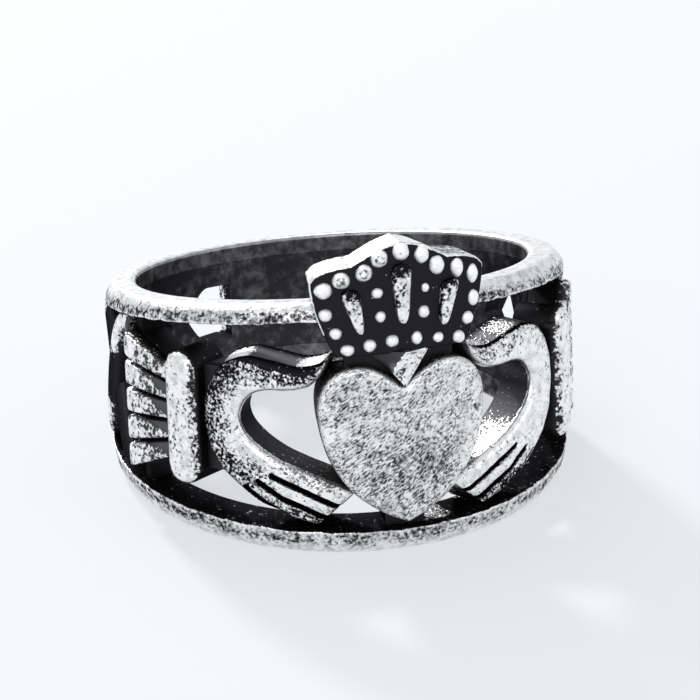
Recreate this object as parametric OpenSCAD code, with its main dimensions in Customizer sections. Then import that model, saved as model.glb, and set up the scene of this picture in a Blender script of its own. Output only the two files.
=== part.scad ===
// Claddagh ring: two rails joined by a pierced band of a crowned heart held by two hands,
// with cuffs, pleated sleeves, a twist of two strands on each side and a plain back.
// It is one casting. It lies as it rests, with its lower rim flat on the ground, the heart
// towards -Y and the finger hole leaning back. The origin is where the hole's axis meets the ground.

/* [Band] */
// Radius of the finger hole
bore_r = 9.9; // [8.5:0.1:11.5]
// Thickness of the wall at its rims, at the sides
rim_wall = 1.2; // [1:0.05:1.6]
// How much thicker the rims are in front, and thinner behind
front_shift = 0.4; // [0.2:0.05:0.45]
// How far the rails stand out beyond their rims
rail_swell = 0.5; // [0.3:0.05:0.6]
// Height of the band at its sides, half way from front to back
side_h = 9.9; // [9:0.1:11]
// Slope of each rim against the hole, which makes the front taller than the back
rim_slope = 7.5; // [5.5:0.5:8.5]
// Height of the upper rail
upper_rail_h = 0.95; // [0.8:0.05:1.2]
// Height of the lower rail
lower_rail_h = 1.3; // [1:0.05:1.5]

/* [Heart] */
// Angle by which the heart, the wedge and the crown are turned to the right
front_turn = 0.8; // [0:0.1:1.2]
// Angle round the band that the heart covers
heart_span = 40.4; // [37:0.2:42]
// Height of the heart from its point to its lobes
heart_h = 8.1; // [7.6:0.1:8.4]
// How far the heart stands out beyond the rims
heart_rise = 0.8; // [0.65:0.05:1.15]

/* [Crown] */
// Angle round the band that the crown covers
crown_span = 42.4; // [39:0.2:44]
// Height of the crown
crown_h = 5.5; // [5:0.1:6.2]
// How far the crown's field stands out beyond the rims
crown_rise = 0.6; // [0.5:0.05:0.85]
// Thickness of the crown where it stands above the band
crown_wall = 1.9; // [1.2:0.05:2]
// Radius of the beads along the crown's upper edge
top_bead_r = 0.42; // [0.3:0.02:0.46]
// Radius of the crown's other beads
small_bead_r = 0.32; // [0.24:0.02:0.36]
// How far the crown's three bars stand out of its field
bar_rise = 0.3; // [0.2:0.05:0.45]
// Width of the wedge under the crown
wedge_w = 2.9; // [2.2:0.1:3.2]
// Height of the wedge under the crown
wedge_h = 1.8; // [1.6:0.1:2]

/* [Hands] */
// Angle from the front at which the fingers end
hand_from = 12; // [11:0.25:13]
// Angle from the front at which the palm ends
hand_to = 47.2; // [46:0.2:48]
// Height of a hand from its lowest finger to its thumb's tip
hand_h = 8.7; // [8.3:0.1:8.9]
// How far the hands stand out beyond the rims
hand_rise = 0.7; // [0.6:0.05:1.05]
// Width of the grooves between the fingers
groove_w = 0.24; // [0.16:0.02:0.3]
// Depth of the grooves between the fingers
groove_d = 0.45; // [0.3:0.05:0.6]

/* [Cuffs and sleeves] */
// Angle from the front of the middle of a cuff
cuff_at = 53.6; // [53:0.2:54.2]
// Width of a cuff
cuff_w = 2; // [1.8:0.05:2.2]
// Height of a cuff
cuff_h = 6.8; // [6.3:0.1:7.2]
// How far a cuff stands out beyond the rims
cuff_rise = 0.95; // [0.7:0.05:1.2]
// Angle from the front at which a sleeve ends
sleeve_to = 74; // [72:0.5:75]
// Height of a sleeve at its wide end
sleeve_h = 7.2; // [6.4:0.1:7.3]
// Height of a sleeve where it meets the cuff
wrist_h = 4.3; // [3.8:0.1:4.8]
// How far a sleeve's pleats stand out beyond the rims at the wide end
sleeve_rise = 0.6; // [0.5:0.05:0.85]
// Number of pleats
pleats = 5; // [3:1:7]
// Width of the grooves between the pleats
pleat_gap = 0.16; // [0.12:0.02:0.3]

/* [Twist and back] */
// Angle from the front at which the twist starts
twist_from = 77.5; // [76:0.5:79]
// Angle from the front at which the twist ends
twist_to = 154; // [150:0.5:157]
// Angle from the front at which the plain back starts
back_from = 162; // [160:0.5:166]
// Number of crossings on each side
crossings = 3; // [2:1:4]
// Width of a strand
strand_w = 1.15; // [0.95:0.05:1.3]
// How far the strands stand out beyond the rims
strand_rise = 0.7; // [0.55:0.05:0.8]
// How far the plain back stands out beyond the rims
back_rise = 0.3; // [0.15:0.05:0.45]

/* [Hidden] */
$fn = 96;
silver = [0.66, 0.66, 0.66];
dark = [0.25, 0.25, 0.26];
// Outer radius of the rims at the sides and in front. The relief's rises are measured from the front
side_r = bore_r + rim_wall;
rim_r = side_r + front_shift;
mid_z = side_h / 2;
// Webs behind the relief, lower than all of it, and a strand that passes under another
web_r = rim_r;
under_drop = 0.18;
// Solids start this far inside the hole, which is cut last
core_depth = 1;
core_r = bore_r - core_depth;
// Outlines run out this far beyond the rims before a drum cuts them
far_out = 3;
far_r = rim_r + far_out;
// How far one piece runs into the next
bite = 0.35;
// How far a bead's middle lies below the crown's field
bead_sink = 0.07;
// Gaps from the heart's point, the fingers and the crown to what lies under them
point_gap = 0.3;
finger_gap = 0.25;
crown_gap = 0.5;
// Direction of the walls of the heart's and the crown's halves, and a hair's breadth by which a half
// or a ground runs past the line that it shares
half_way = 12;
seam = 0.03;
// How deep the crown's bars are rooted
bar_root = 1;
// Half the angle of the web under the heart's point, and the width of the web behind its lobes as a share
point_web = 5;
lobe_web = 0.68;
// How far the wedge runs into the crown, and how far its ridge stands out beyond the heart
wedge_over = 0.1;
// Share of the wedge's width that lies to the left of its ridge
wedge_left = 0.55;
// Angle over which a low web runs behind the palm, and its lower and upper reach as shares of the cuff
palm_web = 4;
palm_low = 0.38;
palm_high = 0.4;
// Radius of a cuff's domed face, as a share of half its width
cuff_dome = 1.6;
// Angles from a cuff's middle to its sleeve's start, and across the bar at the sleeve's end
sleeve_start = 2;
end_bar = 2.5;
// How low a sleeve's pleats start, as a share of their rise, and how low its ground lies
pleat_start = 0.2;
ground_drop = 0.25;
// How far a strand runs past its crossing's stretch at each end, as a share, and into a rail
strand_over = 0.06;
strand_bite = 0.15;
// Steps along a strand's and a ground's outline beside each crossing
strand_steps = 14;
ground_steps = 10;
// Steps along each stretch of a drawn curve
steps = 4;

// Height of the middle of the window between the rails, and half the window's height at an angle
window_z = mid_z + (lower_rail_h - upper_rail_h) / 2;
function rim_lift(a) = rim_r * tan(rim_slope) * cos(a);
function window_half(a) = mid_z + rim_lift(a) - (lower_rail_h + upper_rail_h) / 2;
function lower_edge(a) = lower_rail_h - rim_lift(a);
function upper_edge(a) = side_h - upper_rail_h + rim_lift(a);

// A smooth curve through points, sharp at its two ends
function bend(a, b, c, d, t) = 0.5 * (2 * b + (c - a) * t + (2 * a - 5 * b + 4 * c - d) * t * t
    + (3 * b - a - 3 * c + d) * t * t * t);
function curve(p) = [
    for (i = [0:len(p) - 2]) for (s = [0:steps - 1])
        bend(p[max(i - 1, 0)], p[i], p[i + 1], p[min(i + 2, len(p) - 1)], s / steps),
    p[len(p) - 1]
];
function reverse(p) = [for (i = [len(p) - 1:-1:0]) p[i]];
function flip(p) = [for (q = reverse(p)) [-q[0], q[1]]];
// Points of [angle, height] seen flat along the direction of the angle at
function flat(p, at, r) = [for (q = p) [r * sin(q[0] - at), q[1]]];
// Shares of a span and a height made into [angle, height]
function placed(p, from, span, z0, h) = [for (q = p) [from + span * q[0], z0 + h * q[1]]];
function polar(r, a) = [r * sin(a), -r * cos(a)];

// Runs a flat outline out from the core along the direction of an angle
module radial(at, r0 = core_r) {
    rotate([0, 0, at]) rotate([90, 0, 0]) translate([0, 0, r0]) linear_extrude(far_r - r0) children();
}
module drum(r) { translate([0, 0, -side_h]) cylinder(r = r, h = 3 * side_h); }
// The band's own outside lies off the hole's axis, towards the front
module band_drum(rise) { translate([0, -front_shift, 0]) drum(side_r + rise); }
module both_sides() { children(); mirror([1, 0, 0]) children(); }
// A plate of two halves that meet in the middle, whose walls run out to the right and to the left
module two_halves(half, r) {
    both_sides() intersection() {
        radial(half_way) polygon(flat(half, half_way, r));
        translate([0, -far_r, -side_h]) cube([far_r, far_r, 3 * side_h]);
    }
}

// A rail rises from its flat rim at height zero, and its outer face is an arc
module rail(h) {
    face_r = (rail_swell * rail_swell + h * h) / (2 * rail_swell);
    face_x = side_r + rail_swell - face_r;
    translate([0, -front_shift, 0]) rotate_extrude() intersection() {
        translate([core_r, 0]) square([far_r - core_r, h]);
        union() {
            translate([core_r, 0]) square([face_x + bite - core_r, h]);
            translate([face_x, h]) circle(r = face_r);
        }
    }
}
module rails() {
    color(silver) {
        rotate([rim_slope, 0, 0]) rail(lower_rail_h);
        translate([0, 0, side_h]) rotate([-rim_slope, 0, 0]) mirror([0, 0, 1]) rail(upper_rail_h);
    }
}

// Heart: half its outline from the notch to the point, as shares of half its span and its height.
// Both ends lie a little past the middle, where the two halves are cut
heart_half = [[-0.03, 0.84], [0.2, 0.93], [0.42, 0.985], [0.65, 0.985], [0.85, 0.93], [0.98, 0.82],
    [1, 0.68], [0.95, 0.52], [0.84, 0.37], [0.63, 0.21], [0.3, 0.075], [-0.03, -0.01]];
heart_z = lower_edge(0) + point_gap;
heart_r = rim_r + heart_rise;
module heart() {
    half = placed(curve(heart_half), 0, heart_span / 2, heart_z, heart_h);
    color(silver) intersection() {
        two_halves(half, heart_r);
        drum(heart_r);
    }
    // Webs behind the point and behind the lobes tie the heart to the lower rail and the crown
    web = heart_span * lobe_web / 2;
    web_z = heart_z + heart_half[0][1] * heart_h;
    color(dark) intersection() {
        union() {
            radial(0) polygon(flat([[-point_web, lower_edge(0) - bite], [point_web, lower_edge(0) - bite],
                [point_web, heart_z + 3 * bite], [-point_web, heart_z + 3 * bite]], 0, web_r));
            radial(0) polygon(flat([[-web, web_z], [web, web_z], [web, crown_z + bite],
                [-web, crown_z + bite]], 0, web_r));
        }
        drum(web_r);
    }
}

// Crown: shares of half its span and of its height
crown_side = [[0.74, 0], [0.82, 0.13], [0.9, 0.28], [0.955, 0.43], [0.99, 0.58], [1, 0.68]];
crown_lobe = [[1, 0.68], [0.92, 0.745], [0.8, 0.785], [0.67, 0.81], [0.55, 0.82]];
crown_peak = [[0.55, 0.82], [0.42, 0.88], [0.22, 0.96], [-0.03, 1.005]];
peak_bead = [0, 0.915];
top_beads = [[0.235, 0.87], [0.405, 0.752], [0.65, 0.695], [0.845, 0.61]];
small_beads = [[0.83, 0.39], [0.73, 0.22], [0.61, 0.065], [0.368, 0.095], [0.123, 0.12],
    [0.268, 0.562], [0.243, 0.348]];
// Each bar: its place across, its foot, its top, its width at the foot and at the top, and its lean
bars = [[0, 0.265, 0.8, 0.055, 0.1, 0], [0.46, 0.205, 0.595, 0.045, 0.095, 0.11]];
crown_z = heart_z + heart_h + crown_gap;
crown_r = rim_r + crown_rise;
crown_edge = concat(curve(crown_side), curve(crown_lobe), curve(crown_peak));
crown_half = placed(concat(crown_edge, [[-seam, 0]]), 0, crown_span / 2, crown_z, crown_h);
module bead(q, r) {
    rotate([0, 0, crown_span / 2 * q[0]])
        translate([0, bead_sink - crown_r, crown_z + crown_h * q[1]]) sphere(r);
}
module bar(b) {
    foot = crown_z + crown_h * b[1];
    top = crown_z + crown_h * b[2];
    corners = [[b[0] - b[3], 0], [b[0] + b[3], 0], [b[0] + b[5] + b[4], 1], [b[0] + b[5] - b[4], 1]];
    radial(0, crown_r - bar_root)
        polygon(flat(placed(corners, 0, crown_span / 2, foot, top - foot), 0, crown_r));
}
module crown() {
    color(dark) difference() {
        intersection() {
            two_halves(crown_half, crown_r);
            drum(crown_r);
        }
        // Above the upper rim only the crown's own thickness stands
        translate([0, 0, side_h]) rotate([-rim_slope, 0, 0])
            cylinder(r = crown_r - crown_wall, h = 2 * crown_h);
    }
    color(silver) {
        bead(peak_bead, top_bead_r);
        both_sides() {
            for (q = top_beads) bead(q, top_bead_r);
            for (q = small_beads) bead(q, small_bead_r);
        }
        intersection() {
            union() {
                bar(bars[0]);
                both_sides() bar(bars[1]);
            }
            drum(crown_r + bar_rise);
        }
    }
}

// Wedge: a ridged triangle that points down into the heart's notch
module wedge() {
    ridge_r = heart_r + wedge_over;
    top_z = crown_z + wedge_over;
    left = wedge_left * wedge_w;
    color(silver) intersection() {
        radial(0) polygon([[-left, top_z], [wedge_w - left, top_z], [0, top_z - wedge_h]]);
        linear_extrude(2 * side_h) polygon([[-left, -core_r], [-left, -rim_r], [0, -ridge_r],
            [wedge_w - left, -rim_r], [wedge_w - left, -core_r]]);
    }
}

// Hand: shares of its span and its height. The outer edge runs from the thumb's tip over the back of
// the hand to the little finger, and the inner edge from the first finger round to the thumb's tip
hand_top = [[0.12, 1], [0.18, 0.94], [0.27, 0.915], [0.4, 0.92], [0.55, 0.955], [0.68, 0.965],
    [0.82, 0.92], [0.91, 0.86], [0.97, 0.75], [1, 0.6], [0.98, 0.46], [0.91, 0.33], [0.8, 0.235],
    [0.66, 0.145], [0.49, 0.065], [0.24, 0]];
finger_ends = [[0.24, 0], [0.19, 0.03], [0.14, 0.05], [0.09, 0.1], [0, 0.175]];
hand_hollow = [[0.03, 0.215], [0.13, 0.235], [0.26, 0.285], [0.38, 0.33], [0.5, 0.38], [0.62, 0.45],
    [0.71, 0.53], [0.74, 0.61], [0.71, 0.69], [0.64, 0.75], [0.54, 0.775], [0.4, 0.775], [0.27, 0.8],
    [0.19, 0.87], [0.13, 0.96]];
// Grooves between the fingers, from the knuckles to the tips
grooves = [[[0.53, 0.285], [0.38, 0.225], [0.24, 0.165], [0.09, 0.1]],
    [[0.62, 0.25], [0.48, 0.165], [0.33, 0.105], [0.18, 0.04]],
    [[0.71, 0.21], [0.59, 0.13], [0.47, 0.07], [0.4, 0.02]]];
hand_span = hand_to - hand_from;
hand_mid = (hand_from + hand_to) / 2;
hand_z = lower_edge(hand_mid) + finger_gap;
hand_r = rim_r + hand_rise;
function on_hand(p) = flat(placed(p, hand_from, hand_span, hand_z, hand_h), hand_mid, hand_r);
module groove(p) {
    line = curve(on_hand(p));
    w = groove_w / 2;
    radial(hand_mid, hand_r * cos(hand_span / 2) - groove_d) polygon(concat(
        [for (q = line) q + [0, w]], [for (q = reverse(line)) q - [0, w]]));
}
module hand() {
    outline = concat(curve(hand_top), finger_ends, curve(hand_hollow));
    color(silver) intersection() {
        radial(hand_mid) polygon(on_hand(outline));
        drum(hand_r);
        difference() {
            drum(far_r);
            difference() {
                for (g = grooves) groove(g);
                drum(hand_r - groove_d);
            }
        }
    }
    // A low web between the palm and the cuff
    color(dark) intersection() {
        radial(cuff_at) polygon(flat([[hand_to - palm_web, window_z - palm_low * cuff_h],
            [cuff_at, window_z - palm_low * cuff_h], [cuff_at, window_z + palm_high * cuff_h],
            [hand_to - palm_web, window_z + palm_high * cuff_h]], cuff_at, web_r));
        drum(web_r);
    }
}

// Cuff: an upright bar with round ends and a domed face
module cuff() {
    half = cuff_w / 2;
    dome_r = cuff_dome * half;
    straight = cuff_h - cuff_w;
    color(silver) intersection() {
        radial(cuff_at) translate([0, window_z]) union() {
            translate([-half, -straight / 2]) square([cuff_w, straight]);
            translate([0, -straight / 2]) circle(r = half);
            translate([0, straight / 2]) circle(r = half);
        }
        rotate([0, 0, cuff_at]) union() {
            translate([0, dome_r - rim_r - cuff_rise, 0]) cylinder(r = dome_r, h = side_h);
            translate([-half, dome_r - rim_r - cuff_rise, 0]) cube([cuff_w, bore_r, side_h]);
        }
    }
}

// Sleeve: pleats that fan out from the cuff and rise towards the sleeve's end
module fan(low0, high0, low1, high1) {
    a0 = cuff_at + sleeve_start;
    mid = (a0 + sleeve_to) / 2;
    radial(mid) polygon(flat([[a0, low0], [sleeve_to, low1], [sleeve_to, high1], [a0, high0]], mid, rim_r));
}
module sleeve() {
    z0 = window_z;
    gap = pleat_gap / 2;
    color(dark) intersection() {
        union() {
            fan(z0 - wrist_h / 2, z0 + wrist_h / 2, z0 - sleeve_h / 2, z0 + sleeve_h / 2);
            // The sleeve's end is tied to both rails
            radial(sleeve_to) polygon(flat([[sleeve_to - end_bar, lower_edge(sleeve_to) - bite],
                [sleeve_to, lower_edge(sleeve_to) - bite], [sleeve_to, upper_edge(sleeve_to) + bite],
                [sleeve_to - end_bar, upper_edge(sleeve_to) + bite]], sleeve_to, web_r));
        }
        drum(web_r - ground_drop);
    }
    color(silver) intersection() {
        for (i = [0:pleats - 1]) {
            a = i / pleats - 0.5;
            b = (i + 1) / pleats - 0.5;
            fan(z0 + wrist_h * a + gap, z0 + wrist_h * b - gap, z0 + sleeve_h * a + gap,
                z0 + sleeve_h * b - gap);
        }
        linear_extrude(side_h) polygon([polar(core_r, cuff_at - sleeve_start),
            polar(rim_r + pleat_start * sleeve_rise, cuff_at - sleeve_start),
            polar(rim_r + sleeve_rise, sleeve_to - end_bar), polar(rim_r + sleeve_rise, sleeve_to),
            polar(core_r, sleeve_to + sleeve_start)]);
    }
}

// Twist: two strands that swing from rail to rail and cross, over and under by turns
twist_pitch = (twist_to - twist_from) / crossings;
// Past the twist's end the strands run on along the rails
function swing(a) = (window_half(a) - strand_w / 2 + strand_bite)
    * cos(180 * (min(a, twist_to) - twist_from) / twist_pitch);
function stretch_start(i) = twist_from + i * twist_pitch;
function stretch_end(i) = i == crossings - 1 ? back_from : stretch_start(i + 1);
function stretch_mid(i) = (stretch_start(i) + stretch_end(i)) / 2;
function stretch(i, over, count) = let (from = stretch_start(i) - over, to = stretch_end(i) + over)
    [for (s = [0:count]) from + s * (to - from) / count];
// Strands are drawn at a radius beyond their faces, so that stretches side by side part cleanly
strand_r = rim_r + 2 * bite;
function strand_side(a, way, side) =
    let (slope = way * (swing(a + 0.5) - swing(a - 0.5)) * 180 / PI / strand_r,
        n = [-slope, 1] / sqrt(1 + slope * slope) * side * strand_w / 2)
    [a + n[0] * 180 / PI / strand_r, window_z + way * swing(a) + n[1]];
module strand(i, way) {
    angles = stretch(i, strand_over * twist_pitch, strand_steps);
    radial(stretch_mid(i)) polygon(flat(concat([for (a = angles) strand_side(a, way, 1)],
        [for (a = reverse(angles)) strand_side(a, way, -1)]), stretch_mid(i), strand_r));
}
// Low ground between the strands and a rail. The windows between the crossings stay open
module twist_ground(i, side) {
    angles = stretch(i, 0, ground_steps);
    rail = [for (a = [stretch_end(i), stretch_start(i)])
        [a, side > 0 ? upper_edge(a) + bite : lower_edge(a) - bite]];
    radial(stretch_mid(i)) polygon(flat(concat([for (a = angles)
        [a, window_z + side * (abs(swing(a)) + seam)]], rail), stretch_mid(i), strand_r));
}
module twist() {
    color(dark) intersection() {
        for (i = [0:crossings - 1]) for (side = [-1, 1]) twist_ground(i, side);
        band_drum(-ground_drop);
    }
    color(silver) for (i = [0:crossings - 1]) {
        over = i % 2 == 0 ? 1 : -1;
        intersection() { strand(i, over); band_drum(strand_rise); }
        intersection() { strand(i, -over); band_drum(strand_rise - under_drop); }
    }
}

// Back: a plain plate between the rails
module back() {
    edge = rim_r * sin(180 - back_from);
    z0 = lower_edge(180) - bite;
    color(silver) intersection() {
        radial(180) translate([-edge, z0]) square([2 * edge, upper_edge(180) + bite - z0]);
        band_drum(back_rise);
    }
}

module ring() {
    rotate([-rim_slope, 0, 0]) difference() {
        union() {
            rails();
            rotate([0, 0, front_turn]) {
                heart();
                crown();
                wedge();
            }
            both_sides() {
                hand();
                cuff();
                sleeve();
                twist();
            }
            back();
        }
        drum(bore_r);
    }
}

ring();
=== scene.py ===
"""Looks of the claddagh ring: worn, oxidised silver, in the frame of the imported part.

Lengths are millimetres in the ring's own frame, whose z axis is the finger hole's axis and whose
front, with the heart, faces -y. Heights above the ground come from tipping that frame back by the
slope of the lower rim. Angles go round from the front, positive towards +x. to_world() turns points
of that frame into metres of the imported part.
"""
from __future__ import annotations

import logging
import math
from dataclasses import dataclass
from enum import Enum

import bpy
import numpy as np
from mathutils import Matrix, Vector
from numpy.typing import NDArray

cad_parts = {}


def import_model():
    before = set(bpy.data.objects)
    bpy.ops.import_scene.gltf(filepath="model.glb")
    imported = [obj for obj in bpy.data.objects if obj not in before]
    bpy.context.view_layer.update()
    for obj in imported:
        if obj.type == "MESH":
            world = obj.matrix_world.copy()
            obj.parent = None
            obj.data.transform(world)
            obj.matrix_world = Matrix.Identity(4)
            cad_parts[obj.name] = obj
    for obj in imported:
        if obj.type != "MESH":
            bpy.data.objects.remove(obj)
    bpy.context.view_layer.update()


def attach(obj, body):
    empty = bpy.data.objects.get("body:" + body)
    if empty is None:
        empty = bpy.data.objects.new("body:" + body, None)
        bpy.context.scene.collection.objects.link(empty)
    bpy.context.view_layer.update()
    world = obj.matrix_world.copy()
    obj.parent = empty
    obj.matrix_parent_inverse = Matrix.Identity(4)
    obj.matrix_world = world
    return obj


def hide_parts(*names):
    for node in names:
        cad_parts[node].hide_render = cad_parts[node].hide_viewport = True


Array = NDArray[np.float64]
Shares = tuple[tuple[float, ...], ...]
Colour = tuple[float, float, float]
Socket = bpy.types.NodeSocket
log = logging.getLogger("claddagh_ring")


class Side(Enum):
    """The half of the ring that a piece stands on, as the heart is seen."""
    LEFT = -1
    RIGHT = 1

    @property
    def tag(self) -> str:
        """The side's name in the names of its pieces."""
        return self.name.lower()


class Rim(Enum):
    """Which rail of the band."""
    LOWER = 1
    UPPER = -1


@dataclass(frozen=True)
class Band:
    """Sizes that all the pieces share, the same as in the part's source.

    Attributes:
        bore: radius of the finger hole.
        side: outer radius of the rims at the sides.
        shift: how far the outside's middle lies off the hole's axis, towards the front.
        height: height of the band at its sides.
        slope: slope of each rim in degrees.
        upper: height of the upper rail.
        lower: height of the lower rail.
        swell: how far the rails stand out beyond their rims.
        turn: angle in degrees by which the heart, the wedge and the crown are turned to the right.
        ground: how far the low grounds of the sleeves and the twists lie inside the rims.
    """
    bore: float = 9.9
    side: float = 11.1
    shift: float = 0.4
    height: float = 9.9
    slope: float = 7.5
    upper: float = 0.95
    lower: float = 1.3
    swell: float = 0.5
    turn: float = 0.8
    ground: float = 0.25

    @property
    def front(self) -> float:
        """Outer radius of the rims in front."""
        return self.side + self.shift

    @property
    def window_z(self) -> float:
        """Height of the middle of the window between the rails."""
        return self.height / 2 + (self.lower - self.upper) / 2

    def lift(self, angle: Array | float) -> Array:
        """How far a rim lies beyond its height at the sides, at an angle in degrees."""
        return self.front * math.tan(math.radians(self.slope)) * np.cos(np.radians(angle))

    def lower_edge(self, angle: Array | float) -> Array:
        """Height of the lower rail's inner edge at an angle in degrees."""
        return self.lower - self.lift(angle)

    def upper_edge(self, angle: Array | float) -> Array:
        """Height of the upper rail's inner edge at an angle in degrees."""
        return self.height - self.upper + self.lift(angle)

    def outside(self, angle: Array, rise: Array | float) -> Array:
        """Radius, from the hole's axis, of a circle that stands out beyond the rims.

        Args:
            angle: angle round the band in degrees.
            rise: how far the circle stands out.

        Returns:
            The radius at which a ray at angle a meets the circle of radius R, whose middle lies at
            distance s towards the front: s cos a + sqrt(R^2 - s^2 sin^2 a).
        """
        a = np.radians(angle)
        r = self.side + np.asarray(rise, float)
        return self.shift * np.cos(a) + np.sqrt(r ** 2 - (self.shift * np.sin(a)) ** 2)


BAND = Band()


def to_world(points: Array) -> Array:
    """Turns points of the ring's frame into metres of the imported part.

    Args:
        points: array (..., 3) in millimetres.

    Returns:
        The points tipped back about the x axis by the rim's slope, in metres.
    """
    t = math.radians(-BAND.slope)
    x, y, z = points[..., 0], points[..., 1], points[..., 2]
    turned = np.stack([x, y * math.cos(t) - z * math.sin(t), y * math.sin(t) + z * math.cos(t)], -1)
    return turned * 0.001


def polar(radius: Array | float, angle: Array | float, z: Array | float) -> Array:
    """Points round the hole's axis.

    Args:
        radius: distance from the axis.
        angle: angle in degrees.
        z: height.

    Returns:
        Array (..., 3) of the points (r sin a, -r cos a, z).
    """
    a = np.radians(angle)
    radius, a, z = np.broadcast_arrays(radius, a, z)
    return np.stack([radius * np.sin(a), -radius * np.cos(a), z], -1)


def straight(x: Array, z: Array, radius: Array | float, at: float) -> Array:
    """Points over a flat outline that runs out along one direction.

    Args:
        x, z: places aside of that direction and heights.
        radius: distance from the hole's axis that the points reach.
        at: the direction in degrees.

    Returns:
        Array (..., 3): a point x aside of the direction reaches the radius r at the depth
        sqrt(r^2 - x^2).
    """
    x, z, radius = np.broadcast_arrays(x, z, radius)
    depth = np.sqrt(np.maximum(radius ** 2 - x ** 2, 0.01))
    a = math.radians(at)
    return np.stack([x * math.cos(a) + depth * math.sin(a), x * math.sin(a) - depth * math.cos(a), z], -1)


def smooth(x: Array, low: float, high: float) -> Array:
    """Rises from 0 at low to 1 at high along 3t^2 - 2t^3."""
    t = np.clip((np.asarray(x, float) - low) / (high - low), 0, 1)
    return t * t * (3 - 2 * t)


def band_of(x: Array, low: float, high: float, soft: float) -> Array:
    """One between low and high and zero outside, with soft ends."""
    return smooth(x, low - soft, low + soft) * (1 - smooth(x, high - soft, high + soft))


def round_over(distance: Array, width: float, drop: float) -> Array:
    """How far a face drops near its edge.

    Args:
        distance: distance from the edge, measured over the face.
        width: width of the rounded part.
        drop: drop right at the edge.

    Returns:
        The drop along a quarter of an ellipse: drop (1 - sqrt(1 - (1 - d/w)^2)).
    """
    t = 1 - np.clip(np.asarray(distance, float) / width, 0, 1)
    return drop * (1 - np.sqrt(np.maximum(1 - t * t, 0)))


def spline(points: Array | Shares, count: int) -> Array:
    """A smooth curve through points, with its ends sharp.

    Args:
        points: array (n, d).
        count: number of points wanted, evenly spread over the stretches.

    Returns:
        Array (count, d) along a Catmull-Rom curve: each stretch from b to c is half of
        2b + (c-a)t + (2a-5b+4c-d)t^2 + (3b-a-3c+d)t^3.
    """
    p = np.asarray(points, float)
    u = np.linspace(0, len(p) - 1, count)
    i = np.minimum(u.astype(int), len(p) - 2)
    t = (u - i)[:, None]
    a, b, c, d = (p[np.clip(i + k, 0, len(p) - 1)] for k in (-1, 0, 1, 2))
    bend, twist = 2 * a - 5 * b + 4 * c - d, 3 * b - a - 3 * c + d
    return 0.5 * (2 * b + (c - a) * t + bend * t ** 2 + twist * t ** 3)


def even(points: Array, count: int) -> Array:
    """Spreads points evenly along a polyline.

    Args:
        points: the polyline, array (n, d).
        count: number of points wanted.

    Returns:
        Array (count, d): points at equal lengths along the polyline, its ends included.
    """
    step = np.linalg.norm(np.diff(points, axis=0), axis=1)
    s = np.concatenate([[0], np.cumsum(step)])
    u = np.linspace(0, s[-1], count)
    return np.stack([np.interp(u, s, points[:, k]) for k in range(points.shape[1])], -1)


def soften(loop: Array, times: int) -> Array:
    """Rounds the corners of a closed loop.

    Args:
        loop: the loop, array (n, 2).
        times: how often it is done.

    Returns:
        The loop, with each point made (before + 2 here + after) / 4 each time.
    """
    for _ in range(times):
        loop = (np.roll(loop, 1, 0) + 2 * loop + np.roll(loop, -1, 0)) / 4
    return loop


def mirrored_loop(half: Array) -> Array:
    """A closed loop from its right half, whose first and last points lie on the middle line."""
    return np.vstack([half, (half * [-1, 1])[-2:0:-1]])


def edge_offset(loop: Array, middle: Array) -> Array:
    """Distance of a middle point from the tangent at each point of a closed outline.

    Args:
        loop: the outline, array (n, 2).
        middle: the point inside it.

    Returns:
        Array (n,): the size of the cross product of the unit tangent and the way from the middle.
    """
    tangent = np.roll(loop, -1, 0) - np.roll(loop, 1, 0)
    tangent /= np.linalg.norm(tangent, axis=1)[:, None]
    rel = loop - middle
    return np.abs(rel[:, 0] * tangent[:, 1] - rel[:, 1] * tangent[:, 0])


def line_distance(points: Array, line: Array) -> Array:
    """Distance of each point from a polyline.

    Args:
        points: array (..., 2).
        line: array (n, 2).

    Returns:
        The least of the distances |p - a - t (b - a)| from its stretches, where t is the share of
        the stretch at the foot of the perpendicular, held between 0 and 1.
    """
    a, way = line[:-1], np.diff(line, axis=0)
    rel = points[..., None, :] - a
    t = np.clip((rel * way).sum(-1) / (way ** 2).sum(-1), 0, 1)
    return np.linalg.norm(rel - t[..., None] * way, axis=-1).min(-1)


def waver(u: Array, v: Array, seed: int, size: float) -> Array:
    """A gentle unevenness over two coordinates, between about -1 and 1.

    Args:
        u, v: coordinates in millimetres.
        seed: which of the patterns to use.
        size: length of the largest waves in millimetres.

    Returns:
        The sum of 14 sines of u and v with directions, lengths and phases drawn from the seed.
    """
    rng = np.random.default_rng(seed)
    u, v = np.broadcast_arrays(np.asarray(u, float), np.asarray(v, float))
    ranges = ((0, 2 * math.pi), (0.35, 1), (0, 6.28))
    ways, lengths, phases = (rng.uniform(low, high, 14) for low, high in ranges)
    k = 2 * math.pi / (size * lengths)
    turns = u[..., None] * (k * np.cos(ways)) + v[..., None] * (k * np.sin(ways)) + phases
    return np.sin(turns).sum(-1) / 4.5


class Course(Enum):
    """How a value passes from one end of its range to the other."""
    STRAIGHT = "LINEAR"
    EASED = "SMOOTHSTEP"


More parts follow.
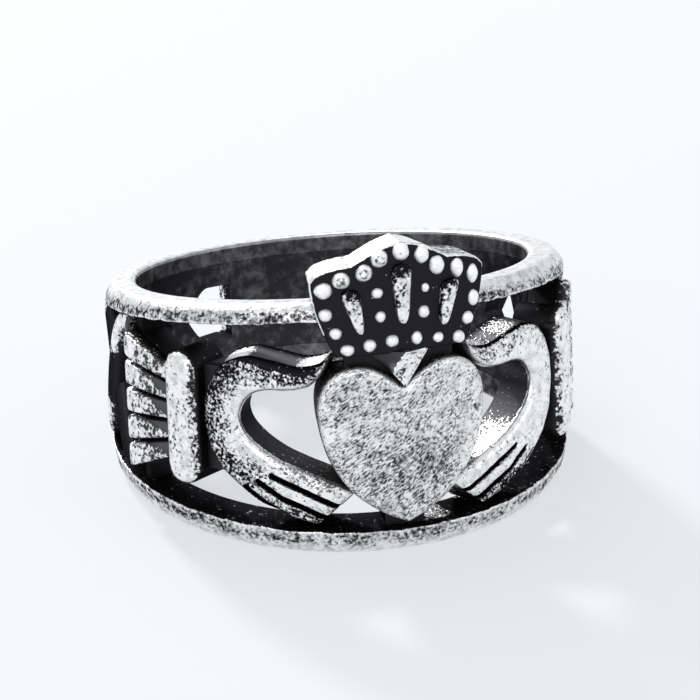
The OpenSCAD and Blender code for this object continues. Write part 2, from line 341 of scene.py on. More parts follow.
class Recipe:
    """The nodes of a new material.

    Attributes:
        material: the material.
        tree: its node tree.
    """

    def __init__(self, name: str) -> None:
        """Starts an empty material of that name."""
        self.material = bpy.data.materials.new(name)
        self.material.use_nodes = True
        self.tree = self.material.node_tree
        self.tree.nodes.clear()

    def link(self, source: Socket, target: Socket) -> None:
        """Joins an output to an input."""
        self.tree.links.new(source, target)

    def node(self, kind: str, **values: object) -> bpy.types.Node:
        """Adds a node.

        Args:
            kind: type of the node.
            values: properties to set on it.

        Returns:
            The new node.
        """
        made = self.tree.nodes.new(kind)
        for key, value in values.items():
            setattr(made, key, value)
        return made

    def attribute(self, name: str) -> Socket:
        """Reads an attribute of the mesh."""
        return self.node("ShaderNodeAttribute", attribute_name=name).outputs["Fac"]

    def noise(self, waves: float, detail: float, place: Socket) -> Socket:
        """Adds noise.

        Args:
            waves: its waves in a metre.
            detail: how many finer layers it has.
            place: coordinate that it reads.

        Returns:
            Its value.
        """
        made = self.node("ShaderNodeTexNoise")
        for key, value in (("Scale", waves), ("Detail", detail), ("Roughness", 0.6)):
            made.inputs[key].default_value = value
        self.link(place, made.inputs["Vector"])
        return made.outputs["Fac"]

    def add_scaled(self, value: Socket, factor: float, to: Socket) -> Socket:
        """Adds a value times a factor to another value.

        Args:
            value: the value.
            factor: what it is multiplied by.
            to: what it is added to.

        Returns:
            The sum.
        """
        made = self.node("ShaderNodeMath", operation="MULTIPLY_ADD")
        self.link(value, made.inputs[0])
        made.inputs[1].default_value = factor
        self.link(to, made.inputs[2])
        return made.outputs[0]

    def ramp(self, value: Socket, start: tuple[float, float], end: tuple[float, float] = (0, 1),
             course: Course = Course.STRAIGHT) -> Socket:
        """Carries a value from one range to another and holds it within that.

        Args:
            value: the value.
            start: range that it comes from.
            end: range that it is brought to.
            course: how it passes between the two ends.

        Returns:
            The new value.
        """
        made = self.node("ShaderNodeMapRange", interpolation_type=course.value)
        for key, bound in zip(("From Min", "From Max", "To Min", "To Max"), (*start, *end)):
            made.inputs[key].default_value = bound
        self.link(value, made.inputs["Value"])
        return made.outputs[0]

    def between(self, a: Socket | Colour, b: Socket | Colour, share: Socket) -> Socket:
        """Mixes two colours.

        Args:
            a, b: the colours, each a socket or three numbers.
            share: share of the second.

        Returns:
            The mixture.
        """
        made = self.node("ShaderNodeMix", data_type="RGBA")
        self.link(share, made.inputs["Factor"])
        for slot, value in (("A", a), ("B", b)):
            if isinstance(value, tuple):
                made.inputs[slot].default_value = (*value, 1)
            else:
                self.link(value, made.inputs[slot])
        return made.outputs["Result"]


# Waves of the coarser noises in a metre, and the turn of the long marks in radians
BLOTCH_WAVES = 2100
CLOUD_WAVES = 520
MOTTLE_WAVES = 2600
STROKE_TURN = (0.1, 0.9, 0.1)


@dataclass(frozen=True)
class WornSilver:
    """Silver blackened in its recesses and worn bright on its high parts.

    The piece's attribute worn says how worn a spot is. Noise at three sizes, each less its own middle,
    is added to it, and where the sum passes one half the metal is bright. Its attribute tone says how
    far the dark metal between the bright spots is lightened to grey. In places both attributes also
    carry painted highlight and painted shade.

    Attributes:
        name: name of the material.
        grain: share of the finest noise, whose dots are about a tenth of a millimetre.
        blotch: share of the noise of about half a millimetre.
        cloud: share of the noise of about two millimetres.
        edge: half the width of the step from dark to bright.
        mottle: how far the worn metal darkens in soft spots of its own.
        fine: waves of the finest noise in a metre.
        bright: colour of the worn metal.
        grey: colour of the dark metal where its tone is 1.
        dark: colour of the dark metal where its tone is 0.
        bright_roughness: roughness of the worn metal.
        dark_roughness: roughness of the blackened metal.
        relief: depth of the pits in metres.
        stroke: how much longer than wide the finest marks are.
    """
    name: str
    grain: float = 1.3
    blotch: float = 0.6
    cloud: float = 0.25
    edge: float = 0.16
    mottle: float = 0.3
    fine: float = 5600
    bright: Colour = (0.95, 0.95, 0.955)
    grey: Colour = (0.5, 0.5, 0.51)
    dark: Colour = (0.012, 0.012, 0.014)
    bright_roughness: float = 0.3
    dark_roughness: float = 0.5
    relief: float = 0.00003
    stroke: float = 1.0

    def build(self) -> bpy.types.Material:
        """Makes the material.

        Returns:
            The new material with its nodes.
        """
        recipe = Recipe(self.name)
        place = recipe.node("ShaderNodeTexCoord").outputs["Object"]
        turned = recipe.node("ShaderNodeMapping", vector_type="TEXTURE")
        turned.inputs["Rotation"].default_value = STROKE_TURN
        turned.inputs["Scale"].default_value = (1, 1, self.stroke)
        recipe.link(place, turned.inputs["Vector"])
        marks = turned.outputs[0]
        grain = recipe.noise(self.fine, 1.2, marks)
        total = recipe.attribute("worn")
        for value, share in ((grain, self.grain), (recipe.noise(BLOTCH_WAVES, 2, place), self.blotch),
                             (recipe.noise(CLOUD_WAVES, 2, place), self.cloud)):
            total = recipe.add_scaled(value, share, total)
        level = (self.grain + self.blotch + self.cloud + 1) / 2
        mask = recipe.ramp(total, (level - self.edge, level + self.edge), course=Course.EASED)

        dull = tuple(c * (1 - self.mottle) for c in self.bright)
        specks = recipe.ramp(recipe.noise(MOTTLE_WAVES, 3, marks), (0.34, 0.56))
        worn_colour = recipe.between(dull, self.bright, specks)
        dark_colour = recipe.between(self.dark, self.grey, recipe.attribute("tone"))
        bump = recipe.node("ShaderNodeBump")
        bump.inputs["Strength"].default_value = 0.6
        bump.inputs["Distance"].default_value = self.relief
        recipe.link(recipe.add_scaled(grain, 0.7, mask), bump.inputs["Height"])
        shader = recipe.node("ShaderNodeBsdfPrincipled")
        shader.inputs["Metallic"].default_value = 1.0
        for key, value in (
                ("Base Color", recipe.between(dark_colour, worn_colour, mask)),
                ("Specular Tint", recipe.between((0.3, 0.3, 0.3), (1, 1, 1), mask)),
                ("Roughness", recipe.ramp(mask, (0, 1), (self.dark_roughness, self.bright_roughness))),
                ("Normal", bump.outputs[0])):
            recipe.link(value, shader.inputs[key])
        recipe.link(shader.outputs[0], recipe.node("ShaderNodeOutputMaterial").inputs["Surface"])
        return recipe.material


@dataclass(frozen=True)
class Finishes:
    """The ring's finishes, one material each.

    Attributes:
        relief: the crown, the wedge, the cuffs, the sleeves, the twists and the plain plates.
        pitted: the hands.
        satin: the heart.
        bead: the crown's beads.
        rail: the rails.
        bore: the finger hole's wall.
    """
    relief: bpy.types.Material
    pitted: bpy.types.Material
    satin: bpy.types.Material
    bead: bpy.types.Material
    rail: bpy.types.Material
    bore: bpy.types.Material

    @classmethod
    def make(cls) -> Finishes:
        """Makes all the finishes."""
        return cls(
            relief=WornSilver("worn_relief").build(),
            pitted=WornSilver("pitted_hands", grain=1.6, blotch=0.35, cloud=0.2, edge=0.2,
                              fine=6800).build(),
            satin=WornSilver("satin_heart", grain=2.1, blotch=0.9, cloud=0.4, edge=0.4, stroke=2.2,
                             fine=11000, dark=(0.04, 0.04, 0.045), bright_roughness=0.4).build(),
            bead=WornSilver("worn_beads", grain=0.8, blotch=0.6, mottle=0.08, bright=(0.98, 0.98, 0.985),
                            bright_roughness=0.55, relief=0.00001).build(),
            rail=WornSilver("worn_rails", grain=1.4, blotch=0.6, cloud=0.35, edge=0.28, mottle=0.4,
                            bright=(0.9, 0.9, 0.905)).build(),
            bore=WornSilver("dark_bore", grain=0.5, blotch=1.1, cloud=1.2, edge=0.7,
                            dark=(0.03, 0.03, 0.033), bright=(0.4, 0.4, 0.405), bright_roughness=0.4,
                            dark_roughness=0.45, relief=0.000015).build())


# Angle in degrees past which an edge is shaded sharp
SHARP = 42.0
# How far from the hole's wall a surface still has the hole's finish
LINING = 0.09
# How far the plates reach into the rails
ROOT = 0.3


@dataclass
class Casting:
    """What the ring's sub-parts share: they consist of closed pieces made from grids of points.

    Attributes:
        finishes: the ring's finishes.
        side: the half of the ring that the sub-part stands on, or None where it has no side.
    """
    finishes: Finishes
    side: Side | None = None

    def skin(self, name: str, grid: Array, worn: Array, tone: Array | float = 0.0,
             finish: bpy.types.Material | None = None, ring: bool = False,
             turn: float = 0.0) -> bpy.types.Object:
        """Makes a closed piece from loops of points that follow each other.

        Args:
            name: name of the piece, which gets its side put before it.
            grid: array (rows, loop, 3) on the right half of the ring. Each row is a closed loop.
            worn: array (rows, loop), how worn each point is, with painted highlight and painted shade in
                places.
            tone: array (rows, loop), how far the dark metal is lightened.
            finish: material outside the finger hole, that of the relief unless another is given.
            ring: whether the last row joins the first. Otherwise each end closes on a middle point.
            turn: angle in degrees by which the piece is turned to the right, after it is mirrored.

        Returns:
            The new object, with its faces outwards.
        """
        rows, loop, _ = grid.shape
        points = grid.reshape(-1, 3)
        layers = {"worn": np.broadcast_to(worn, (rows, loop)).reshape(-1),
                  "tone": np.broadcast_to(tone, (rows, loop)).reshape(-1)}
        i, j = np.meshgrid(np.arange(rows if ring else rows - 1), np.arange(loop), indexing="ij")
        n, k = (i + 1) % rows, (j + 1) % loop
        quads = np.stack([i * loop + j, i * loop + k, n * loop + k, n * loop + j], -1).reshape(-1, 4)
        fans = np.zeros((0, 3), int)
        if not ring:
            around = np.arange(loop)
            after, last, base = (around + 1) % loop, (rows - 1) * loop, len(points)
            points = np.vstack([points, grid[0].mean(0), grid[-1].mean(0)])
            layers = {key: np.append(v, [v[:loop].mean(), v[-loop:].mean()]) for key, v in layers.items()}
            fans = np.vstack([np.stack([np.full(loop, base), after, around], -1),
                              np.stack([np.full(loop, base + 1), last + around, last + after], -1)])
        points = points * np.array([-1 if self.side is Side.LEFT else 1, 1, 1])
        cos, sin = math.cos(math.radians(turn)), math.sin(math.radians(turn))
        points = points @ np.array([[cos, sin, 0], [-sin, cos, 0], [0, 0, 1]])
        a, b, c, d = (points[quads[:, corner]] for corner in range(4))
        volume = (np.cross(a, b) * c).sum() + (np.cross(a, c) * d).sum()
        if volume < 0:
            quads, fans = quads[:, ::-1], fans[:, ::-1]
        name = f"{self.side.tag}_{name}" if self.side is not None else name
        mesh = bpy.data.meshes.new(name)
        mesh.from_pydata(to_world(points).tolist(), [], quads.tolist() + fans.tolist())
        mesh.update()
        for key, values in layers.items():
            layer = mesh.attributes.new(key, "FLOAT", "POINT")
            layer.data.foreach_set("value", np.ascontiguousarray(values, dtype=np.float32))
        mesh.materials.append(finish or self.finishes.relief)
        mesh.materials.append(self.finishes.bore)
        inside = np.hypot(points[:, 0], points[:, 1]) < BAND.bore + LINING
        kinds = np.concatenate([inside[quads].all(1), inside[fans].all(1)]).astype(np.int32)
        mesh.polygons.foreach_set("material_index", kinds)
        mesh.shade_smooth()
        mesh.set_sharp_from_angle(angle=math.radians(SHARP))
        made = bpy.data.objects.new(name, mesh)
        bpy.context.scene.collection.objects.link(made)
        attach(made, "root")
        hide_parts("ring")
        log.info("%s: %d faces", name, len(kinds))
        return made

    def shell(self, name: str, face: Array, rear: Array, worn: Array, tone: Array | float = 0.0,
              rear_worn: float = 0.0, rear_tone: float = 0.0, turn: float = 0.0) -> bpy.types.Object:
        """Makes a closed piece from its face and its inner side.

        Args:
            name: name of the piece.
            face: points of its face, array (rows, n, 3).
            rear: the points behind them.
            worn: how worn the face is, array (rows, n).
            tone: how far the face's dark metal is lightened.
            rear_worn, rear_tone: the same two for the inner side.
            turn: angle in degrees by which the piece is turned to the right.

        Returns:
            The new object. Each of its rows runs over the face and back along the inner side.
        """
        grid = np.concatenate([face, rear[:, ::-1]], axis=1)
        values, tones = (
            np.concatenate([np.broadcast_to(front, worn.shape), np.full(worn.shape, behind)], axis=1)
            for front, behind in ((worn, rear_worn), (tone, rear_tone)))
        return self.skin(name, grid, values, tones, turn=turn)

    def plate(self, name: str, angle: Array, low: Array | float, high: Array | float, radius: Array | float,
              worn: float = 0.0, tone: float = 0.03, turn: float = 0.0,
              under: float = 0.06) -> bpy.types.Object:
        """Makes a plain curved plate between two heights that change with the angle.

        Args:
            name: name of the plate.
            angle: stations in degrees.
            low, high: heights of its edges, one number or one for each station.
            radius: radius of its face, one number or one for each station.
            worn: how worn its face is.
            tone: how far its dark metal is lightened.
            turn: angle in degrees by which it is turned to the right.
            under: how far its inner side lies outside the hole's wall.

        Returns:
            The plate, with straight upright lines between its two edges.
        """
        v = np.linspace(0, 1, 24)[None]
        low, high = (np.broadcast_to(edge, angle.shape)[:, None] for edge in (low, high))
        z = low * (1 - v) + high * v
        a = angle[:, None] + 0 * v
        face = polar(np.reshape(np.asarray(radius, float), (-1, 1)), a, z)
        uneven = 0.12 * waver(a * 0.2, z, 61, 2.5) if worn else 0 * z
        return self.shell(name, face, polar(BAND.bore + under, a, z), worn + uneven, tone,
                          rear_tone=tone, turn=turn)


@dataclass
class Rail(Casting):
    """A rail of the band, all the way round, with rounded corners and a face that swells.

    Attributes:
        rim: which of the two rails.
        stations: number of cross-sections round the band.
        round_in: how far its rounded inner edge reaches over the rim.
        round_down: how far that edge reaches down the hole's wall.
    """
    rim: Rim = Rim.LOWER
    stations: int = 600
    round_in: float = 0.35
    round_down: float = 0.22

    @property
    def height(self) -> float:
        """Height of the rail."""
        return BAND.lower if self.rim is Rim.LOWER else BAND.upper

    def profile(self) -> Array:
        """Cross-section of the rail.

        Returns:
            Points (k, 2) of radius and height above the rim's plane. The outer face is an arc that is
            upright at the window's edge: x = c + sqrt(f^2 - (h - y)^2), with f such that it passes
            through the rim's edge. The inner edge is a quarter of an ellipse.
        """
        h, swell = self.height, BAND.swell
        f = (swell ** 2 + h ** 2) / (2 * swell)
        y = np.linspace(0, h, 26)
        arc = np.stack([BAND.side + swell - f + np.sqrt(f * f - (h - y) ** 2), y], -1)
        turn = np.radians(np.linspace(0, 90, 12)[:-1])
        inner = np.stack([BAND.bore + self.round_in * (1 - np.cos(turn)),
                          self.round_down * (1 - np.sin(turn))], -1)
        rim_top = np.stack([np.linspace(BAND.bore + self.round_in, BAND.side, 14)[:-1], np.zeros(13)], -1)
        ledge = np.stack([np.linspace(BAND.side + swell, BAND.bore, 18)[1:], np.full(17, h)], -1)
        wall = np.stack([np.full(8, BAND.bore), np.linspace(h, self.round_down, 10)[1:-1]], -1)
        loop = np.vstack([inner, rim_top, arc, ledge, wall])
        even_loop = even(np.vstack([loop, loop[:1]]), 129)[:-1]
        rounded = soften(even_loop, 5)
        rounded[:, 0] = np.where(even_loop[:, 0] < BAND.bore + 1e-6, BAND.bore, rounded[:, 0])
        return rounded

    def wear(self, x: Array, y: Array, angle: Array) -> Array:
        """How worn the rail is.

        Args:
            x, y: radius and height of the profile's points, array (1, k).
            angle: the stations in degrees, array (n, 1).

        Returns:
            Array (n, k): bright over the rim and the upper part of the face, pitted towards the
            window's edge and beside the crown, dark on the ledge that faces the window, except
            beside the heart's point.
        """
        h = self.height
        way = (angle + 180) % 360 - 180
        arc = np.radians(way) * BAND.side
        down = y / h
        face = 0.9 - 0.42 * smooth(down, 0.12, 0.6) + 0.2 * smooth(down, 0.84, 0.95)
        if self.rim is Rim.UPPER:
            face = face - 0.12 * band_of(np.abs(way), 17, 34, 8) * smooth(down, 0.15, 0.6)
            face = face + 0.08 * smooth(way, 5, 20)
        else:
            face = face + 0.05 - 0.08 * band_of(way, -72, -40, 8) * smooth(down, 0.3, 0.7)
        face = face + 0.06 * waver(arc, y * 2, 11, 5.0)
        rim = 0.94 + 0.06 * waver(arc, x * 6, 12, 6.0)
        ledge = 0.04 + 0.5 * smooth(x, BAND.side + BAND.swell - 0.12, BAND.side + BAND.swell)
        if self.rim is Rim.LOWER:
            near_hole = 1 - smooth(x, BAND.side - 0.1, BAND.side + 0.1)
            ledge = ledge + 0.5 * band_of(way, 2.5, 13, 1.5) * near_hole
        over_face = smooth(x - BAND.side + 2.4 * y, 0.0, 0.12)
        worn = np.where(y > h - 0.03, ledge, rim * (1 - over_face) + face * over_face)
        return np.where((x < BAND.bore + 0.02) & (y > 0.2), 0.35, worn)

    def build(self) -> bpy.types.Object:
        """Carries the cross-section round the band.

        Returns:
            The rail. A point between the hole and the rim's outer edge is a mixture of a point on the
            hole's wall and one on the outer circle, both in the rim's sloping plane at height h; a
            point past the outer edge goes on outwards.
        """
        profile = self.profile()
        t = math.radians(BAND.slope)
        angle = np.linspace(0, 360, self.stations, endpoint=False)[:, None]
        a = np.radians(angle)
        x, h = profile[None, :, 0], profile[None, :, 1]
        inner_y = (-BAND.bore * np.cos(a) + h * math.sin(t)) / math.cos(t)
        inner = np.stack(np.broadcast_arrays(BAND.bore * np.sin(a), inner_y), -1)
        outer = np.stack([BAND.side * np.sin(a), -BAND.side * np.cos(a) - BAND.shift], -1)
        way = np.stack([np.sin(a), -np.cos(a)], -1)
        share = np.minimum((x - BAND.bore) / (BAND.side - BAND.bore), 1)[..., None]
        past = np.maximum(x - BAND.side, 0)[..., None]
        arc = a * BAND.side
        past = past + (0.022 * waver(arc, h * 3, 3, 4.0) - 0.02)[..., None] * smooth(share, 0.5, 1)
        flat = inner * (1 - share) + outer * share + way * past
        dent = 0.03 * waver(arc, x, 5 + self.rim.value, 1.6) * smooth(x, BAND.side - 0.6, BAND.side)
        height = h + np.where(h > 0.3, dent, 0)
        sign = self.rim.value
        z = sign * (flat[..., 1] * math.sin(t) + height * math.cos(t)) + (0 if sign > 0 else BAND.height)
        y = flat[..., 1] * math.cos(t) - height * math.sin(t)
        grid = np.stack([flat[..., 0], y, z], -1)
        return self.skin(f"{self.rim.name.lower()}_rail", grid, self.wear(x, h, angle), 0.02,
                         self.finishes.rail, ring=True)


# Height of the heart's point, height of the heart and height of the crown's foot
HEART_Z = float(BAND.lower_edge(0)) + 0.3
HEART_HEIGHT = 8.1
CROWN_Z = HEART_Z + HEART_HEIGHT + 0.5


@dataclass
class Slab:
    """A thick plate in front of the ring whose walls run out to the left and to the right.

    Attributes:
        loop: outline, array (n, 2) of arc lengths from the middle and heights, at the face's radius.
        middle: the point that the rows over the face shrink to.
        radius: radius of the face, which the arc lengths are measured at.
        way: direction of the walls of its right half, in degrees.
    """
    loop: Array
    middle: Array
    radius: float
    way: float = 12.0

    def at_radius(self, outline: Array, radius: Array) -> Array:
        """Points where the walls through an outline on the face meet another radius.

        Args:
            outline: arc lengths and heights on the face, array (..., 2).
            radius: the other radius.

        Returns:
            Array (..., 3): a wall along the direction w through the radius R and the angle a meets
            the radius r at w + asin(R sin(a - w) / r), and stops at the middle plane.
        """
        angle = np.degrees(outline[..., 0] / self.radius)
        way = np.where(angle >= 0, self.way, -self.way)
        sine = self.radius / radius * np.sin(np.radians(angle - way))
        met = way + np.degrees(np.arcsin(np.clip(sine, -1, 1)))
        met = np.where(way > 0, np.maximum(met, 0), np.minimum(met, 0))
        return polar(radius, met, outline[..., 1])

    def face_rows(self, inner: int, outer: int, border: float) -> tuple[Array, Array, Array]:
        """Rows over the face, from its middle out to its edge, closer together near the edge.

        Args:
            inner: number of rows up to the border.
            outer: number of rows from there to the edge.
            border: the border's share of the way out.

        Returns:
            Shares of the way out (m,), flat points (m, n, 2) and distances from the edge (m, n).
        """
        near = 1 - border * np.linspace(1, 0, outer)[1:] ** 1.7
        reach = np.concatenate([np.linspace(0.02, 1 - border, inner), near])
        flat = self.middle + reach[:, None, None] * (self.loop - self.middle)
        return reach, flat, (1 - reach)[:, None] * edge_offset(self.loop, self.middle)[None]

    def rows(self, flat: Array, top: Array, worn: Array, wall: Array | float, tone: float,
             under: Array | float) -> tuple[Array, Array, Array]:
        """Adds the walls and the inner side to the rows of the face.

        Args:
            flat: flat points of the face's rows, array (m, n, 2).
            top: radius of the face's points, array (m, n).
            worn: how worn the face is, array (m, n).
            wall: how worn the wall is at its top, one number or one for each point of the outline.
            tone: how far the face's dark metal is lightened.
            under: radius of the inner side, one number or one for each point of the outline.

        Returns:
            Points (rows, n, 3), how worn they are and their tones. The walls fall in straight lines
            to the inner side, whose rows shrink to its middle.
        """
        count = len(self.loop)
        inner = np.broadcast_to(under, count)
        fall = np.array([0.05, 0.14, 0.3, 0.5, 0.72, 0.94])[:, None]
        level = top[-1][None] * (1 - fall) + inner[None] * fall
        sides = self.at_radius(np.broadcast_to(self.loop, (len(fall), count, 2)), level)
        foot = self.at_radius(self.loop, inner)
        core = foot.mean(0)
        share = np.linspace(1, 0.05, 8)[:, None, None]
        rear = core + share * (foot - core)
        ring = np.hypot(rear[..., 0], rear[..., 1])[..., None]
        rear = np.concatenate([rear[..., :2] * (inner[None, :, None] / ring), rear[..., 2:]], -1)
        face = polar(top, np.degrees(flat[..., 0] / self.radius), flat[..., 1])
        values = np.concatenate([worn, np.broadcast_to(wall, (len(fall), count)) * (1 - 0.25 * fall),
                                 np.full((len(share), count), 0.3)])
        tones = np.concatenate([np.broadcast_to(tone, worn.shape),
                                np.full((len(fall) + len(share), count), 0.04)])
        return np.concatenate([face, sides, rear]), values, tones


@dataclass
class Heart(Casting):
    """The heart: a gently domed satin face with rounded edges.

    Attributes:
        span: angle round the band that it covers, in degrees.
        height: height from its point to its lobes.
        radius: radius of its face.
        half: half the outline from the notch to the point, as shares of half the span and the height.
    """
    span: float = 40.4
    height: float = HEART_HEIGHT
    radius: float = 12.3
    half: Shares = (
        (0, 0.85), (0.2, 0.93), (0.42, 0.985), (0.65, 0.985), (0.85, 0.93), (0.98, 0.82), (1, 0.68),
        (0.95, 0.52), (0.84, 0.37), (0.63, 0.21), (0.3, 0.075), (0, 0))

    def build(self) -> bpy.types.Object:
        """Builds the face as rows that shrink to a middle point, then the walls and the inner side.

        Returns:
            The heart. The face drops over its edge along a quarter of an ellipse and lies a little
            lower towards the edge, by 0.06 s^2 for a share s of the way out.
        """
        half = even(spline(self.half, 400), 220)
        arc = np.radians(half[:, 0] * self.span / 2) * self.radius
        loop = mirrored_loop(np.stack([arc, HEART_Z + self.height * half[:, 1]], -1))
        slab = Slab(loop, np.array([0, HEART_Z + 0.55 * self.height]), self.radius)
        reach, flat, distance = slab.face_rows(40, 26, 0.16)
        s, z = flat[..., 0], flat[..., 1]
        top = self.radius + 0.02 - 0.06 * reach[:, None] ** 2 - round_over(distance, 0.34, 0.28)
        top = top + 0.012 * waver(s, z, 20, 1.4) * smooth(distance, 0, 0.4)
        low = np.exp(-((s / 2.4) ** 2 + ((z - HEART_Z - 2.6) / 1.1) ** 2))
        slant = np.exp(-(s - 0.55 * (z - HEART_Z - 4) - 0.8) ** 2) * smooth(z, HEART_Z + 4, HEART_Z + 6)
        worn = 0.6 + 0.05 * waver(s, z, 21, 3.0) - 0.2 * low + 0.16 * slant
        worn = worn + 0.1 * (1 - smooth(distance, 0, 0.8)) + 0.06 * smooth(s, 1.5, 3.5)
        grid, values, tones = slab.rows(flat, top, worn, 0.1, 0.0, BAND.bore + 0.02)
        return self.skin("heart", grid, values, tones, self.finishes.satin, turn=BAND.turn)


@dataclass
class Bead:
    """A ball on the crown, a little taller or wider than round.

    Attributes:
        across: its place, as a share of half the crown's span.
        up: its height, as a share of the crown's.
        wide: half its width.
        tall: half its height.
        dull: how far its middle is darkened.
    """
    across: float
    up: float
    wide: float
    tall: float
    dull: float = 0.0


@dataclass
class Bar:
    """A drop-shaped bar on the crown, with its wide end up.

    Attributes:
        across: place of its foot, as a share of half the crown's span.
        foot: height of its foot, as a share of the crown's.
        top: height of its top.
        foot_half: half its width at the foot.
        top_half: half its width at the top.
        lean: how far its top lies outwards of its foot.
    """
    across: float
    foot: float
    top: float
    foot_half: float
    top_half: float
    lean: float


@dataclass
class Crown(Casting):
    """The crown: a thick plate with a dark field, beads along its edges and three bars.

    Attributes:
        span: angle round the band that it covers, in degrees.
        height: its height.
        radius: radius of its field.
        wall: its thickness above the band.
        bar_rise: how far the bars stand out of the field.
        sink: how far the beads' middles lie below the field.
        flank, lobe, peak: stretches of half its outline, as shares of half the span and the height.
        beads: its beads.
        bars: its middle bar and the one to the right of it.
    """
    span: float = 42.4
    height: float = 5.5
    radius: float = 12.1
    wall: float = 1.9
    bar_rise: float = 0.3
    sink: float = 0.07
    flank: Shares = ((0.74, 0), (0.82, 0.13), (0.9, 0.28), (0.955, 0.43), (0.99, 0.58), (1, 0.68))
    lobe: Shares = ((1, 0.68), (0.92, 0.745), (0.8, 0.785), (0.67, 0.81), (0.55, 0.82))
    peak: Shares = ((0.55, 0.82), (0.42, 0.88), (0.22, 0.96), (0, 1))
    beads: tuple[Bead, ...] = (
        Bead(0, 0.915, 0.42, 0.43, 0.25),
        Bead(-0.235, 0.87, 0.42, 0.44, 0.5), Bead(-0.405, 0.752, 0.42, 0.44, 0.5),
        Bead(-0.65, 0.695, 0.42, 0.43, 0.4), Bead(-0.845, 0.61, 0.43, 0.42),
        Bead(0.235, 0.87, 0.36, 0.48), Bead(0.405, 0.752, 0.39, 0.48),
        Bead(0.65, 0.695, 0.36, 0.47), Bead(0.845, 0.61, 0.33, 0.48),
        Bead(-0.83, 0.39, 0.34, 0.32, 0.2), Bead(-0.73, 0.22, 0.31, 0.3), Bead(-0.61, 0.065, 0.35, 0.29),
        Bead(-0.368, 0.095, 0.32, 0.32), Bead(-0.123, 0.12, 0.32, 0.32), Bead(-0.268, 0.562, 0.3, 0.28),
        Bead(-0.243, 0.348, 0.27, 0.29),
        Bead(0.85, 0.39, 0.31, 0.42), Bead(0.77, 0.22, 0.31, 0.34), Bead(0.65, 0.065, 0.34, 0.32),
        Bead(0.4, 0.095, 0.29, 0.27), Bead(0.15, 0.12, 0.29, 0.34), Bead(0.268, 0.562, 0.21, 0.24),
        Bead(0.243, 0.348, 0.3, 0.32))
    bars: tuple[Bar, ...] = (
        Bar(0, 0.265, 0.81, 0.065, 0.13, 0), Bar(0.46, 0.205, 0.61, 0.05, 0.125, 0.11))

    def place(self, q: Array) -> Array:
        """Shares of half the span and the height made into arc lengths and heights."""
        return np.stack([self.radius * np.radians(q[..., 0] * self.span / 2),
                         CROWN_Z + self.height * q[..., 1]], -1)

    def body(self) -> bpy.types.Object:
        """Builds the plate behind the beads and the bars.

        Returns:
            The plate. Its walls stand out like a slab's. Its inner side lies on the hole below the
            rim and stands free above it.
        """
        parts = ((self.flank, 80), (self.lobe, 60), (self.peak, 60))
        edge = np.vstack([even(spline(part, 120), count)[:-1] for part, count in parts] + [[[0, 1]]])
        foot = np.stack([np.linspace(0, self.flank[0][0], 50), np.zeros(50)], -1)[:-1]
        loop = soften(mirrored_loop(self.place(np.vstack([foot, edge]))), 2)
        slab = Slab(loop, np.array([0, CROWN_Z + 0.42 * self.height]), self.radius)
        _, flat, distance = slab.face_rows(36, 22, 0.1)
        top = self.radius - round_over(distance, 0.14, 0.12)
        rim = BAND.height - 0.45 + self.radius * math.tan(math.radians(BAND.slope))
        free = self.radius - self.wall
        inner = BAND.bore + 0.02 + (free - BAND.bore) * smooth(loop[:, 1] - rim, -0.12, 0.12)
        s, up = loop[:, 0], (loop[:, 1] - CROWN_Z) / self.height
        high = smooth(up, 0.62, 0.7)
        right_lobe = band_of(s, 1.9, 4.0, 0.2) * high
        wall = 0.06 + 0.92 * high - 0.42 * right_lobe + 0.1 * high * waver(s, loop[:, 1], 8, 1.6)
        line = 0.9 * smooth(up, 0.15, 0.25) * (1 - 0.5 * smooth(s, 0, 2) * (1 - high))
        worn = line[None] * (1 - smooth(distance, 0.05, 0.13))
        grid, values, tones = slab.rows(flat, top, worn, wall, 0.02, inner)
        tones = tones + 0.3 * (np.arange(len(tones))[:, None] >= len(flat)) * right_lobe[None]
        return self.skin("crown_plate", grid, values, tones, turn=BAND.turn)

    def bead(self, name: str, b: Bead) -> bpy.types.Object:
        """Builds a bead.

        Args:
            name: its name.
            b: its place and sizes.

        Returns:
            The bead: circles of latitude round the outward way, as wide and as tall as its sizes
            times the latitude's cosine, with its middle sunk in the field.
        """
        s, z = self.place(np.array([b.across, b.up]))
        a = s / self.radius
        centre = polar(self.radius - self.sink, math.degrees(a), z)
        out, aside = np.array([math.sin(a), -math.cos(a), 0]), np.array([math.cos(a), math.sin(a), 0])
        lat = np.radians(np.linspace(87, -60, 24))[:, None, None]
        lon = np.radians(np.linspace(0, 360, 36, endpoint=False))[None, :, None]
        depth = min(b.wide, b.tall)
        flat = np.cos(lat) * (b.wide * np.cos(lon) * aside + b.tall * np.sin(lon) * np.array([0, 0, 1.0]))
        ball = centre + depth * np.sin(lat) * out + flat
        uneven = 1 + 0.05 * waver(np.cos(lon) + b.across * 9, np.sin(lon) + b.up * 9 + 0 * lat, 9, 2.0)
        ball = centre + (ball - centre) * uneven
        height = np.degrees(lat[..., 0]) + 0 * lon[..., 0]
        worn = 0.1 + 0.88 * smooth(height, 0, 22) - b.dull * smooth(height, 35, 62)
        return self.skin(name, ball, worn, 0.25 * (height > 20), self.finishes.bead, turn=BAND.turn)

